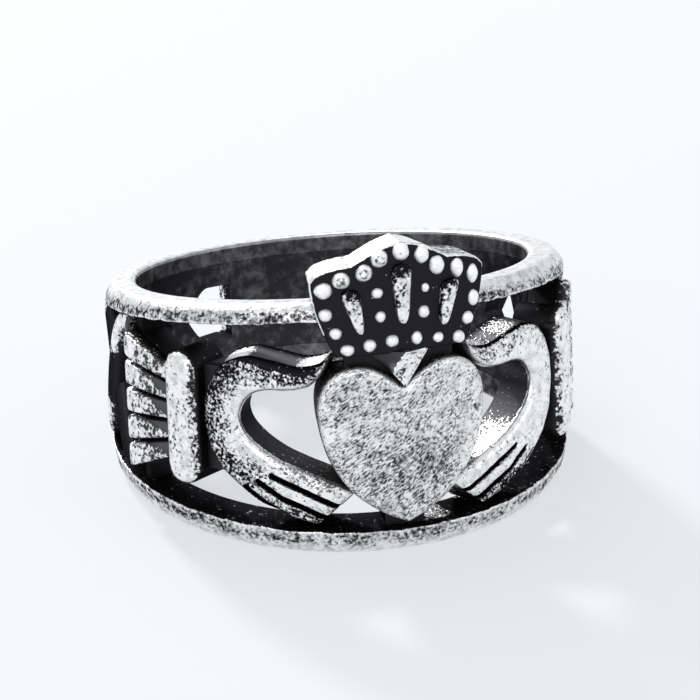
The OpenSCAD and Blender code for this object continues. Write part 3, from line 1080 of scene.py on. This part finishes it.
    def bar(self, name: str, b: Bar, side: Side = Side.RIGHT) -> bpy.types.Object:
        """Builds a bar.

        Args:
            name: its name.
            b: its place and sizes.
            side: the half of the crown that it stands on.

        Returns:
            The bar. Across, its face is an arch (1 - v^4)^(1/2); its ends are rounded by
            (1 - |2t - 1|^7)^(1/2) along it.
        """
        t = np.linspace(0, 1, 90)[:, None]
        v = np.linspace(-1, 1, 21)[None]
        ends = np.clip(1 - np.abs(2 * t - 1) ** 7, 0, 1) ** 0.5
        width = (b.foot_half + (b.top_half - b.foot_half) * t) * ends + 0.002
        across, up = side.value * (b.across + b.lean * t + width * v), b.foot + (b.top - b.foot) * t
        flat = self.place(np.stack(np.broadcast_arrays(across, up), -1))
        angle = np.degrees(flat[..., 0] / self.radius)
        arch = np.clip(1 - np.abs(v) ** 4, 0, 1) ** 0.5
        top = self.radius - 0.1 + (self.bar_rise + 0.1) * arch * (0.5 + 0.5 * ends)
        worn = 0.48 + 0.22 * (1 - t) - 0.3 * smooth(t, 0.75, 1) + 0.12 * v
        rear = polar(self.radius - 0.3, angle, flat[..., 1])
        return self.shell(name, polar(top, angle, flat[..., 1]), rear, worn, turn=BAND.turn)

    def build(self) -> None:
        """Builds the plate, its beads and its bars."""
        self.body()
        for i, b in enumerate(self.beads):
            self.bead(f"crown_bead_{i}", b)
        middle, right = self.bars
        self.bar("crown_bar_middle", middle)
        for side in Side:
            self.bar(f"crown_bar_{side.tag}", right, side)


@dataclass
class Wedge(Casting):
    """The ridged triangle that points down into the heart's notch.

    Attributes:
        width: its width under the crown.
        height: its height.
        ridge: radius of its ridge.
        left: share of its width that lies to the left of its point.
        bend: the ridge's place aside at shares of the height above the point.
    """
    width: float = 2.9
    height: float = 1.8
    ridge: float = 12.4
    left: float = 0.55
    bend: Shares = ((0, 0), (0.3, -0.7), (0.6, -0.55), (0.85, -0.15), (1, 0.1))

    def build(self) -> bpy.types.Object:
        """Builds it from level cuts.

        Returns:
            The wedge. Each cut is a triangle with its ridge in front, narrower lower down. To the left
            of the ridge its metal is dark with a glint, to the right of it bright with a pit.
        """
        t = np.linspace(0.02, 1, 60)[:, None]
        v = np.linspace(-1, 1, 61)[None]
        knots = np.array(self.bend)
        ridge = np.interp(t, knots[:, 0], knots[:, 1]) * smooth(t, 0, 0.12)
        low, high = -self.left * self.width * t, (1 - self.left) * self.width * t
        ridge = np.clip(ridge, low * 0.9, high * 0.9)
        x = np.where(v < 0, ridge + (ridge - low) * v, ridge + (high - ridge) * v)
        z = CROWN_Z + 0.1 - self.height * (1 - t) + 0 * v
        drop = (np.sqrt(v ** 2 + 0.004) - 0.06) * np.where(v > 0, 0.5, 1)
        top = self.ridge - (self.ridge - BAND.front) * drop * (0.35 + 0.65 * t)
        face = np.stack([x, -top + 0 * x, z], -1)
        rear = np.stack([x, np.full_like(x, -BAND.bore - 0.03), z], -1)
        pit = 0.3 * band_of(t, 0.3, 0.5, 0.08) * band_of(v, 0.05, 0.4, 0.1)
        worn = 0.66 * smooth(v, -0.16, -0.02) - pit
        glint = 0.08 + 0.3 * np.exp(-((v + 0.25) / 0.2) ** 2) * band_of(t, 0.35, 0.7, 0.1)
        return self.shell("wedge", face, rear, worn, glint * (v < 0), turn=BAND.turn)


@dataclass(frozen=True)
class HandWearAndLight:
    """How worn the parts of a hand are, and where highlight and shade are painted on them, which differs a
    little between the two.

    Attributes:
        hollow: limb beside the hollow.
        back: limb along the back of the hand.
        thumb: face of the thumb.
        thumb_edge_shade: width of the dark strip of painted shade below the thumb's upper edge.
        finger: faces of the upper fingers.
        last: face of the lowest finger.
        rest: wall of the first finger towards the hollow.
        index: how much less worn the first finger is than the next.
        bright_from, bright_to: stretches of the thumb's upper wall that carry a painted highlight, as shares
            of the span.
        leaf_highlight: how bright the painted highlight on those stretches is.
        middle_tone: how far the wall between them is lightened, a painted grey between the highlights.
    """
    hollow: float
    back: float
    thumb: float
    thumb_edge_shade: float
    finger: float
    last: float
    rest: float
    index: float
    bright_from: tuple[float, ...]
    bright_to: tuple[float, ...]
    leaf_highlight: float
    middle_tone: float


HAND_WEAR_AND_LIGHT: dict[Side, HandWearAndLight] = {
    Side.LEFT: HandWearAndLight(
        hollow=0.84, back=0.38, thumb=0.46, thumb_edge_shade=0.45, finger=0.78, last=0.5, rest=0.1, index=0.22,
        bright_from=(0.03, 0.66), bright_to=(0.34, 0.88), leaf_highlight=1.0, middle_tone=0.4),
    Side.RIGHT: HandWearAndLight(
        hollow=0.94, back=0.8, thumb=0.68, thumb_edge_shade=0.08, finger=0.82, last=0.44, rest=0.72, index=0.04,
        bright_from=(0.02, 0.46), bright_to=(0.38, 0.66), leaf_highlight=0.56, middle_tone=0.25)}


@dataclass
class Hand(Casting):
    """A hand: a limb that runs from the finger tips round the palm to the thumb's tip.

    Attributes:
        start: angle of the finger tips in degrees.
        end: angle of the palm's far side in degrees.
        height: its height.
        radius: radius of its face.
        groove: width of the grooves between the fingers.
        depth: depth of the grooves.
        stations: pairs of points on the hollow's edge and on the outer edge, as shares of its span
            and its height.
        grooves: the grooves from the knuckles to the tips, as the same shares.
        rows, columns: numbers of points along the limb and across its face.
    """
    start: float = 12.0
    end: float = 47.2
    height: float = 8.7
    radius: float = 12.2
    groove: float = 0.24
    depth: float = 0.42
    stations: Shares = (
        (0, 0.175, 0.24, 0), (0.13, 0.235, 0.38, 0.03), (0.26, 0.285, 0.5, 0.07),
        (0.38, 0.33, 0.63, 0.125), (0.5, 0.38, 0.75, 0.2), (0.62, 0.45, 0.87, 0.29),
        (0.71, 0.53, 0.96, 0.41), (0.74, 0.61, 1, 0.58), (0.71, 0.69, 0.975, 0.75),
        (0.64, 0.75, 0.86, 0.9), (0.54, 0.775, 0.68, 0.965), (0.42, 0.775, 0.5, 0.945),
        (0.3, 0.79, 0.34, 0.915), (0.2, 0.855, 0.2, 0.935), (0.14, 0.95, 0.12, 1.0))
    grooves: tuple[Shares, ...] = (
        ((0.53, 0.285), (0.38, 0.225), (0.24, 0.165), (0.09, 0.1)),
        ((0.62, 0.25), (0.48, 0.165), (0.33, 0.105), (0.18, 0.04)),
        ((0.71, 0.21), (0.59, 0.13), (0.47, 0.07), (0.4, 0.02)))
    rows: int = 300
    columns: int = 96

    @property
    def middle(self) -> float:
        """Angle of the hand's middle, which its walls run out along."""
        return (self.start + self.end) / 2

    def flat(self, shares: Array) -> Array:
        """Shares made into places aside of the middle's direction and heights."""
        turn = np.radians(self.start + (self.end - self.start) * shares[..., 0] - self.middle)
        z0 = float(BAND.lower_edge(self.middle)) + 0.25
        return np.stack([self.radius * np.sin(turn), z0 + self.height * shares[..., 1]], -1)

    def wear(self, w: HandWearAndLight, u: Array, v: Array, gap: Array, trench: Array, point: Array) -> Array:
        """How worn the hand's face is, with painted shade along its outer edge.

        Args:
            w: the hand's values.
            u: station along the limb, array (n, 1).
            v: share of the way across from the hollow, array (1, m).
            gap: distance from the nearer edge, array (n, m).
            trench: depth of the grooves, array (n, m).
            point: flat points of the face, array (n, m, 2).

        Returns:
            Array (n, m): the fingers', the limb's and the thumb's values, each faded into the next,
                less along the edges, as a strip of painted shade that is widest below the thumb's upper
                edge, and in the grooves.
        """
        limb = w.back + (w.hollow - w.back) * np.exp(-(v / 0.42) ** 2)
        fingers = w.finger + (w.last - w.finger) * smooth(v, 0.55, 0.85)
        to_fingers = 1 - smooth(u, 2.6, 4.2)
        to_thumb = smooth(u, 9.0, 10.4)
        worn = limb * (1 - to_fingers - to_thumb) + fingers * to_fingers + w.thumb * to_thumb
        worn = worn + to_thumb * 0.3 * (1 - smooth(v, 0.05, 0.4))
        worn = worn - 0.08 * band_of(u, 8.2, 11, 0.6) * smooth(v, 0.4, 0.8)
        worn = worn - w.index * (1 - smooth(v, 0.14, 0.44)) * smooth(u, 0.2, 1) * (1 - smooth(u, 4.2, 6))
        # Painted shade: a dark strip on the bevel along the face's outer edge, widest below the thumb's
        # upper edge.
        edge = 0.06 + (w.thumb_edge_shade - 0.06) * band_of(u, 9.9, 13.2, 0.4)
        near = (1 - smooth(gap, 0.5 * edge, 1.1 * edge)) * smooth(v, 0.5, 0.6)
        worn = worn * (1 - 0.85 * near) - 1.1 * smooth(trench, 0.05, 0.22)
        return worn + 0.08 * waver(point[..., 0], point[..., 1], 43, 2.0)

    def build(self) -> bpy.types.Object:
        """Carries a cross-section along the limb.

        Returns:
            The hand. Its face is rounded over at both edges and domed by 0.12 v^2 across the limb, with v
            from -1 to 1. Each groove is a trench that is full near its line and fades out past half
            its width. The walls run out along the direction of the hand's middle.
        """
        w = HAND_WEAR_AND_LIGHT[self.side]
        n, m = self.rows, self.columns
        s = spline(self.stations, n)
        u = np.linspace(0, len(self.stations) - 1, n)[:, None]
        inner, outer = self.flat(s[:, :2]), self.flat(s[:, 2:])
        v = (0.25 - 0.25 * np.cos(np.linspace(0, math.pi, m)) + 0.5 * np.linspace(0, 1, m))[None]
        point = inner[:, None] * (1 - v[..., None]) + outer[:, None] * v[..., None]
        width = np.linalg.norm(outer - inner, axis=1)[:, None]
        gap = np.minimum(v, 1 - v) * width
        step = np.linalg.norm(np.diff(point[:, m // 2], axis=0), axis=1)
        along = np.concatenate([[0], np.cumsum(step)])[:, None]
        gap = np.minimum(gap, np.minimum(along, along[-1] - along) + 0.02)
        far = np.min([line_distance(point, self.flat(spline(g, 25))) for g in self.grooves], axis=0)
        trench = self.depth * (1 - smooth(far, 0.2 * self.groove, 0.72 * self.groove))
        top = self.radius + 0.02 - 0.12 * (2 * v - 1) ** 2 - round_over(gap, 0.36, 0.3) - trench
        top = top + 0.02 * waver(point[..., 0], point[..., 1], 31, 2.0)
        face = straight(point[..., 0], point[..., 1], top, self.middle)

        under = BAND.bore + 0.02
        fall = np.array([0.05, 0.14, 0.3, 0.55, 0.85, 1.0])[None]
        walls = [straight(edge[:, :1], edge[:, 1:], rim[:, None] * (1 - fall) + under * fall, self.middle)
                 for edge, rim in ((outer, top[:, -1]), (inner, top[:, 0]))]
        behind = point[:, -2:0:-6]
        back = straight(behind[..., 0], behind[..., 1], under, self.middle)
        grid = np.concatenate([face, walls[0], back, walls[1][:, ::-1]], axis=1)

        # Painted highlight: stretches of the thumb's upward-facing upper wall are bright, with a painted
        # grey between them; the rest of the outer wall is dark.
        across = s[:, 2:3]
        upper = smooth(u, 8.6, 9.4)
        bright = sum(band_of(across, low, high, 0.06) for low, high in zip(w.bright_from, w.bright_to))
        outer_wall_highlight = upper * bright * w.leaf_highlight * (1 - smooth(fall, 0.75, 0.9)) + 0.03
        outer_tone = upper * (1 - 0.6 * bright) * w.middle_tone * (1 - smooth(fall, 0.5, 0.8)) + 0.01
        inner_worn = w.rest * band_of(u, 1.0, 4.4, 0.8) * (1 - 0.5 * fall) + 0.03
        values = np.concatenate([self.wear(w, u, v, gap, trench, point), outer_wall_highlight,
                                 np.full(back.shape[:2], 0.3), inner_worn[:, ::-1]], axis=1)
        near_hollow = 1.25 * w.index * (1 - smooth(v, 0.2, 0.5)) * (1 - smooth(u, 4.2, 7))
        near_hollow = near_hollow * (trench < 0.05)
        tones = np.concatenate([near_hollow, outer_tone, np.zeros(back.shape[:2]),
                                np.full((n, fall.shape[1]), 0.12)], axis=1)
        return self.skin("hand", grid, values, tones, self.finishes.pitted)


@dataclass
class Cuff(Casting):
    """The upright bar beside a palm, with round ends and a domed face.

    Attributes:
        at: angle of its middle in degrees.
        width: its width.
        height: its height.
        radius: radius of the top of its face.
        dome: how far its face rises from its edge.
    """
    at: float = 53.6
    width: float = 2.0
    height: float = 6.8
    radius: float = 12.45
    dome: float = 0.62

    def build(self) -> bpy.types.Object:
        """Builds it from rows set in from its outline.

        Returns:
            The cuff. Each row is the outline of a bar with half circles at its ends, set in by the
            distance d from the edge, at a height of dome (1 - (1 - d/w)^2.4)^(1/2.4) above the edge,
            where w is half the width.
        """
        half = self.width / 2
        turn = np.linspace(0, math.pi, 60)
        arc = np.stack([np.cos(turn), np.sin(turn)], -1)
        unit = np.vstack([arc, -arc])
        middle_z = np.concatenate([np.full(60, 1.0), np.full(60, -1.0)]) * (self.height - self.width) / 2
        d = half * np.linspace(0, 0.999, 30)[::-1] ** 1.7
        rows = unit[None] * (half - d)[:, None, None]
        rows[..., 1] += middle_z[None] + BAND.window_z
        x, z = rows[..., 0], rows[..., 1]
        ragged = 0.05 * waver(z, np.sign(x), 71 + self.side.value, 0.8) * (1 - smooth(d, 0, 0.5))[:, None]
        edge = self.radius - self.dome
        top = edge + (self.dome * np.clip(1 - (1 - d / half) ** 2.4, 0, 1) ** (1 / 2.4))[:, None]
        face = straight(x + ragged * np.sign(x), z, top, self.at)
        fall = np.linspace(0.1, 1, 8)[:, None]
        under = BAND.bore + 0.03
        wall = straight(x[-1:], z[-1:], edge * (1 - fall) + under * fall, self.at)
        back = straight(x[::-5], z[::-5], under, self.at)
        grid = np.concatenate([face, wall, back[1:]])
        toward_palm = -x / half
        pits = 0.2 * np.exp(-((x - 0.1 * z + 0.5) / 0.35) ** 2)
        pits = pits * band_of(z, BAND.window_z - 2, BAND.window_z + 1, 0.6)
        worn = 0.72 + 0.07 * waver(x, z, 72 + self.side.value, 2.2) - pits
        worn = worn - 0.34 * smooth(toward_palm, 0.5, 0.9)
        worn = worn * smooth(d, 0.0, 0.1)[:, None] + 0.05
        values = np.concatenate([worn, np.full(wall.shape[:2], 0.05), np.full(back[1:].shape[:2], 0.3)])
        return self.skin("cuff", grid, values, 0.03)


@dataclass
class Sleeve(Casting):
    """The sleeve: pleats that fan out from the cuff and rise towards its end, over a dark ground.

    Attributes:
        start: angle at which it starts in degrees.
        end: angle at which it ends in degrees.
        wrist: its height at the cuff.
        mouth: its height at the wide end.
        rise: how far the pleats stand out beyond the rims at the wide end.
        pleats: number of pleats.
        gap: width of the grooves between them.
        bar: angle across the bar at its end, in degrees.
    """
    start: float = 55.6
    end: float = 74.0
    wrist: float = 4.3
    mouth: float = 7.2
    rise: float = 0.6
    pleats: int = 5
    gap: float = 0.12
    bar: float = 2.5

    def pleat(self, i: int) -> bpy.types.Object:
        """Builds one pleat.

        Args:
            i: its number, counted from the lowest.

        Returns:
            The pleat. Across, its face is an arch (1 - |v|^8)^(1/4); along, it rises in a straight line
            to the bar and ends in a flat wall. A painted highlight lies on a triangle along its lower edge
            that widens towards the end, and the rest of its face is painted shade. The top pleat is bright
            all along.
        """
        t = np.concatenate([np.linspace(0, 0.97, 70), [0.985, 1.0]])[:, None]
        v = np.linspace(-1, 1, 31)[None]
        share = (i + 0.5) / self.pleats - 0.5
        spread = self.wrist * (1 - t) + self.mouth * t
        half = spread / self.pleats / 2 - self.gap / 2
        z = BAND.window_z + spread * share + half * v
        angle = self.start + (self.end - self.start) * t + 0 * v
        arch = np.clip(1 - np.abs(v) ** 8, 0, 1) ** 0.25
        level = 0.2 + 0.8 * np.clip((angle - self.start) / (self.end - self.bar - self.start), 0, 1)
        foot = BAND.front - BAND.ground - 0.05
        top = foot + (BAND.ground + 0.05 + self.rise * level - 0.04 * smooth(t, 0.96, 1)) * arch
        # Painted light: a bright triangle along each pleat's lower edge is a painted highlight, brighter
        # towards the end; the face beside it is painted shade, dark with some grey.
        reach = smooth(t, -0.1, 0.75) if i < self.pleats - 1 else 1.2 + 0 * t
        lit_facet = 1 - smooth((v + 1) / 2 - 1.25 * reach, -0.4, 0.1)
        worn = 0.02 + (0.46 + 0.2 * smooth(t, 0.5, 0.9)) * lit_facet * arch
        worn = worn + 0.12 * lit_facet * waver(angle * 0.2, z, 50 + i, 1.2)
        return self.shell(f"pleat_{i}", polar(top, angle, z), polar(BAND.bore + 0.05, angle, z), worn,
                          0.2 * (1 - 0.5 * lit_facet) * arch)

    def build(self) -> None:
        """Builds the pleats, the ground under them and the bar that ties the end to both rails."""
        for i in range(self.pleats):
            self.pleat(i)
        radius = BAND.front - BAND.ground
        t = np.linspace(0, 1, 20)
        half = (self.wrist * (1 - t) + self.mouth * t) / 2
        a = self.start - 2 + (self.end - self.start + 1.6) * t
        self.plate("sleeve_ground", a, BAND.window_z - half, BAND.window_z + half, radius)
        a = np.linspace(self.end - self.bar, self.end - 0.1, 6)
        self.plate("sleeve_bar", a, BAND.lower_edge(a) - ROOT, BAND.upper_edge(a) + ROOT, radius - 0.02)


@dataclass
class Twist(Casting):
    """Two strands that swing from rail to rail and cross, over and under by turns.

    Attributes:
        start: angle at which the twist starts in degrees.
        end: angle at which it ends, after which the strands run along the rails.
        back: angle at which the plain back starts.
        crossings: number of crossings.
        width: width of a strand.
        rise: how far the strands stand out beyond the rims.
        dip: how far a strand that passes under another lies below it.
        bite: how far the strands reach into the rails.
    """
    start: float = 77.5
    end: float = 154.0
    back: float = 162.0
    crossings: int = 3
    width: float = 1.15
    rise: float = 0.7
    dip: float = 0.24
    bite: float = 0.15

    def turns(self, a: Array) -> Array:
        """How far the twist has turned at an angle, in radians: half a turn for each crossing."""
        pitch = (self.end - self.start) / self.crossings
        return np.pi * (np.minimum(a, self.end) - self.start) / pitch

    def swing(self, a: Array) -> Array:
        """How far a strand's middle lies from the window's, which is h(a) cos(turns)."""
        half = BAND.height / 2 + BAND.lift(a) - (BAND.lower + BAND.upper) / 2
        return (half - self.width / 2 + self.bite) * np.cos(self.turns(a))

    def strand(self, name: str, start: Rim) -> bpy.types.Object:
        """Builds one strand.

        Args:
            name: its name.
            start: the rail that it starts at.

        Returns:
            The strand. Its middle swings from rail to rail, and its crest lies lower by
            dip (1 - way sin(turns)) / 2, so that it passes over and under. The way is 1 from the upper
            rail and -1 from the lower one.
        """
        way = -start.value
        a = np.linspace(self.start - 1.5, self.back + 1.0, 240)
        z = BAND.window_z + way * self.swing(a)
        r = BAND.outside(a, 0.3)
        slope = np.gradient(z, np.radians(a) * r)
        normal = np.stack([-slope, np.ones_like(slope)], -1) / np.sqrt(1 + slope ** 2)[:, None]
        v = np.linspace(-1, 1, 31)[None]
        off = self.width / 2 * v
        angle = a[:, None] + np.degrees(normal[:, :1] * off / r[:, None])
        height = z[:, None] + normal[:, 1:] * off
        arch = np.sqrt(np.clip(1 - np.abs(v) ** 2.4, 0, 1))
        over = (1 + way * np.sin(self.turns(a))) / 2
        crest = BAND.outside(a, self.rise - 0.02 - self.dip * (1 - over))[:, None]
        top = crest - 0.45 + 0.45 * arch
        crossing = smooth(over, 0.02, 0.35)[:, None]
        worn = (0.12 + 0.66 * arch ** 2) * (0.2 + 0.8 * crossing)
        # Painted shade: the rising strand is darkened before 96 degrees, and the falling strand from 86 to
        # 92.5 degrees, about its first crossing.
        shade = smooth(a, 96, 103) if way < 0 else 1 - band_of(a, 86, 92.5, 1.5)
        worn = worn * (0.03 + 0.97 * shade)[:, None]
        worn = worn + 0.08 * waver(angle * 0.2, height, 81, 1.6)
        rear = polar(BAND.bore + 0.05, angle, height)
        return self.shell(name, polar(top, angle, height), rear, worn, 0.03, rear_worn=0.03, rear_tone=0.03)

    def build(self) -> None:
        """Builds both strands and the low grounds between them and the rails."""
        self.strand("falling_strand", Rim.UPPER)
        self.strand("rising_strand", Rim.LOWER)
        a = np.linspace(self.start - 0.2, self.back + 0.2, 160)
        low = BAND.outside(a, -BAND.ground)
        out = np.abs(self.swing(a))
        self.plate("upper_ground", a, BAND.window_z + out, BAND.upper_edge(a) + ROOT, low)
        self.plate("lower_ground", a, BAND.lower_edge(a) - ROOT, BAND.window_z - out, low)


@dataclass
class Back(Casting):
    """The plain plate at the back of the band, between the rails.

    Attributes:
        start: angle at which it starts in degrees.
        rise: how far it stands out beyond the rims.
    """
    start: float = Twist.back
    rise: float = 0.3

    def build(self) -> bpy.types.Object:
        """Builds the plate over the back's stations."""
        a = np.linspace(self.start, 360 - self.start, 60)
        return self.plate("back", a, BAND.lower_edge(a) - ROOT, BAND.upper_edge(a) + ROOT,
                          BAND.outside(a, self.rise), worn=0.7, under=0.04)


@dataclass
class Webs(Casting):
    """Low dark webs behind the relief, which tie its pieces to each other and to the rails.

    Attributes:
        radius: radius of the web behind the lobes, which stands out the most.
        point: half the angle in degrees across the web under the heart's point.
        lobes: half the angle across the web behind the lobes.
        palm_start: angle at which the web behind a palm starts.
        palm_end: angle at which it ends.
        palm_low: how far it reaches below the window's middle.
        palm_high: how far it reaches above it.
    """
    radius: float = BAND.front
    point: float = 5.0
    lobes: float = 13.7
    palm_start: float = 43.2
    palm_end: float = 53.6
    palm_low: float = 2.58
    palm_high: float = 2.72

    def build(self) -> None:
        """Builds the web under the heart's point, the one behind its lobes and those behind the palms."""
        a = np.linspace(-self.point, self.point, 12)
        self.plate("point_web", a, BAND.lower_edge(a) - ROOT, HEART_Z + 1, self.radius - 0.1, turn=BAND.turn)
        a = np.linspace(-self.lobes, self.lobes, 30)
        self.plate("lobe_web", a, HEART_Z + 6.9, CROWN_Z + 0.35, self.radius, turn=BAND.turn)
        a = np.linspace(self.palm_start, self.palm_end, 12)
        low, high = BAND.window_z - self.palm_low, BAND.window_z + self.palm_high
        for side in Side:
            Casting(self.finishes, side).plate("palm_web", a, low, high, self.radius - 0.05, tone=0.06)


@dataclass(frozen=True)
class Lamp:
    """A square soft light that faces the ring.

    Attributes:
        name: its name.
        place: its place in metres.
        size: length of its sides in metres.
        power: its power in watts.
        aim: the point that it faces, in metres.
    """
    name: str
    place: tuple[float, float, float]
    size: float
    power: float
    aim: tuple[float, float, float] = (0.0, 0.0, 0.006)

    def build(self) -> None:
        """Hangs the light."""
        data = bpy.data.lights.new(self.name, "AREA")
        data.size, data.energy = self.size, self.power
        made = bpy.data.objects.new(self.name, data)
        made.location = self.place
        toward = Vector(self.aim) - Vector(self.place)
        made.rotation_euler = toward.to_track_quat("-Z", "Y").to_euler()
        bpy.context.scene.collection.objects.link(made)


@dataclass
class Studio:
    """A pale floor, soft lights and a camera at the photograph's angle.

    Attributes:
        turn: angle in degrees by which the camera stands to the left of the front.
        rise: angle in degrees above the floor.
        distance: distance from the camera to the ring in millimetres.
        aim: point that the camera looks at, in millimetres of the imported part.
        aside: how far its aim is moved to the right.
        above: how far its aim is moved up.
        focal: focal length for a sensor 36 mm wide.
        floor_half: half the width of the floor in metres.
        floor_glow: how strongly the floor glows.
        sky_light: strength of the surroundings.
        lamps: the lights.
    """
    turn: float = 16.04
    rise: float = 24.8
    distance: float = 195.6
    aim: tuple[float, float, float] = (0.0, 0.646, 4.908)
    aside: float = 0.773
    above: float = 0.302
    focal: float = 197.44
    floor_half: float = 1.2
    floor_glow: float = 0.6
    sky_light: float = 0.78
    lamps: tuple[Lamp, ...] = (
        Lamp("key", (-0.09, 0.45, 0.28), 0.06, 2.3),
        Lamp("top", (-0.1, 0.26, 0.36), 0.4, 0.7),
        Lamp("front", (-0.22, -0.35, 0.3), 0.3, 0.6),
        Lamp("side", (0.35, -0.3, 0.25), 0.3, 0.2))

    def camera(self) -> None:
        """Places the camera."""
        p, e = math.radians(self.turn), math.radians(self.rise)
        back = Vector((-math.sin(p) * math.cos(e), -math.cos(p) * math.cos(e), math.sin(e)))
        right = Vector((math.cos(p), -math.sin(p), 0))
        up = back.cross(right)
        target = Vector(self.aim) + right * self.aside + up * self.above
        data = bpy.data.cameras.new("camera")
        data.sensor_width, data.lens = 36, self.focal
        data.clip_start, data.clip_end = 0.01, 10
        made = bpy.data.objects.new("camera", data)
        bpy.context.scene.collection.objects.link(made)
        pose = Matrix((right, up, back)).transposed().to_4x4()
        pose.translation = (target + back * self.distance) * 0.001
        made.matrix_world = pose
        bpy.context.scene.camera = made

    def floor(self) -> None:
        """Builds the floor: a wide level square, pale and slightly cool, that glows a little."""
        mesh = bpy.data.meshes.new("floor")
        r = self.floor_half
        mesh.from_pydata([(-r, -r, 0), (r, -r, 0), (r, r, 0), (-r, r, 0)], [], [(0, 1, 2, 3)])
        material = bpy.data.materials.new("pale_floor")
        material.use_nodes = True
        shader = material.node_tree.nodes["Principled BSDF"]
        for key, value in (("Base Color", (0.22, 0.225, 0.235, 1)), ("Roughness", 0.8),
                           ("Specular IOR Level", 0.1), ("Emission Color", (0.95, 0.965, 1, 1)),
                           ("Emission Strength", self.floor_glow)):
            shader.inputs[key].default_value = value
        mesh.materials.append(material)
        made = bpy.data.objects.new("floor", mesh)
        bpy.context.scene.collection.objects.link(made)

    def sky(self) -> None:
        """Makes the even pale surroundings."""
        world = bpy.data.worlds.new("surroundings")
        world.use_nodes = True
        shade = world.node_tree.nodes["Background"]
        shade.inputs["Color"].default_value = (0.96, 0.98, 1, 1)
        shade.inputs["Strength"].default_value = self.sky_light
        bpy.context.scene.world = world

    def build(self) -> None:
        """Sets up the camera, the floor, the surroundings and the lights."""
        self.camera()
        self.floor()
        self.sky()
        for lamp in self.lamps:
            lamp.build()
        scene = bpy.context.scene
        scene.view_settings.view_transform = "Standard"
        scene.view_settings.look = "None"
        log.info("studio ready")


def main() -> None:
    """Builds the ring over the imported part, in order, and the studio around it."""
    logging.basicConfig(level=logging.INFO, format="%(name)s: %(message)s")
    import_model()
    finishes = Finishes.make()
    Studio().build()
    for rim in Rim:
        Rail(finishes, rim=rim).build()
    for kind in (Heart, Crown, Wedge):
        kind(finishes).build()
    for side in Side:
        for kind in (Hand, Cuff, Sleeve, Twist):
            kind(finishes, side).build()
    for kind in (Back, Webs):
        kind(finishes).build()


if __name__ == "__main__":
    main()
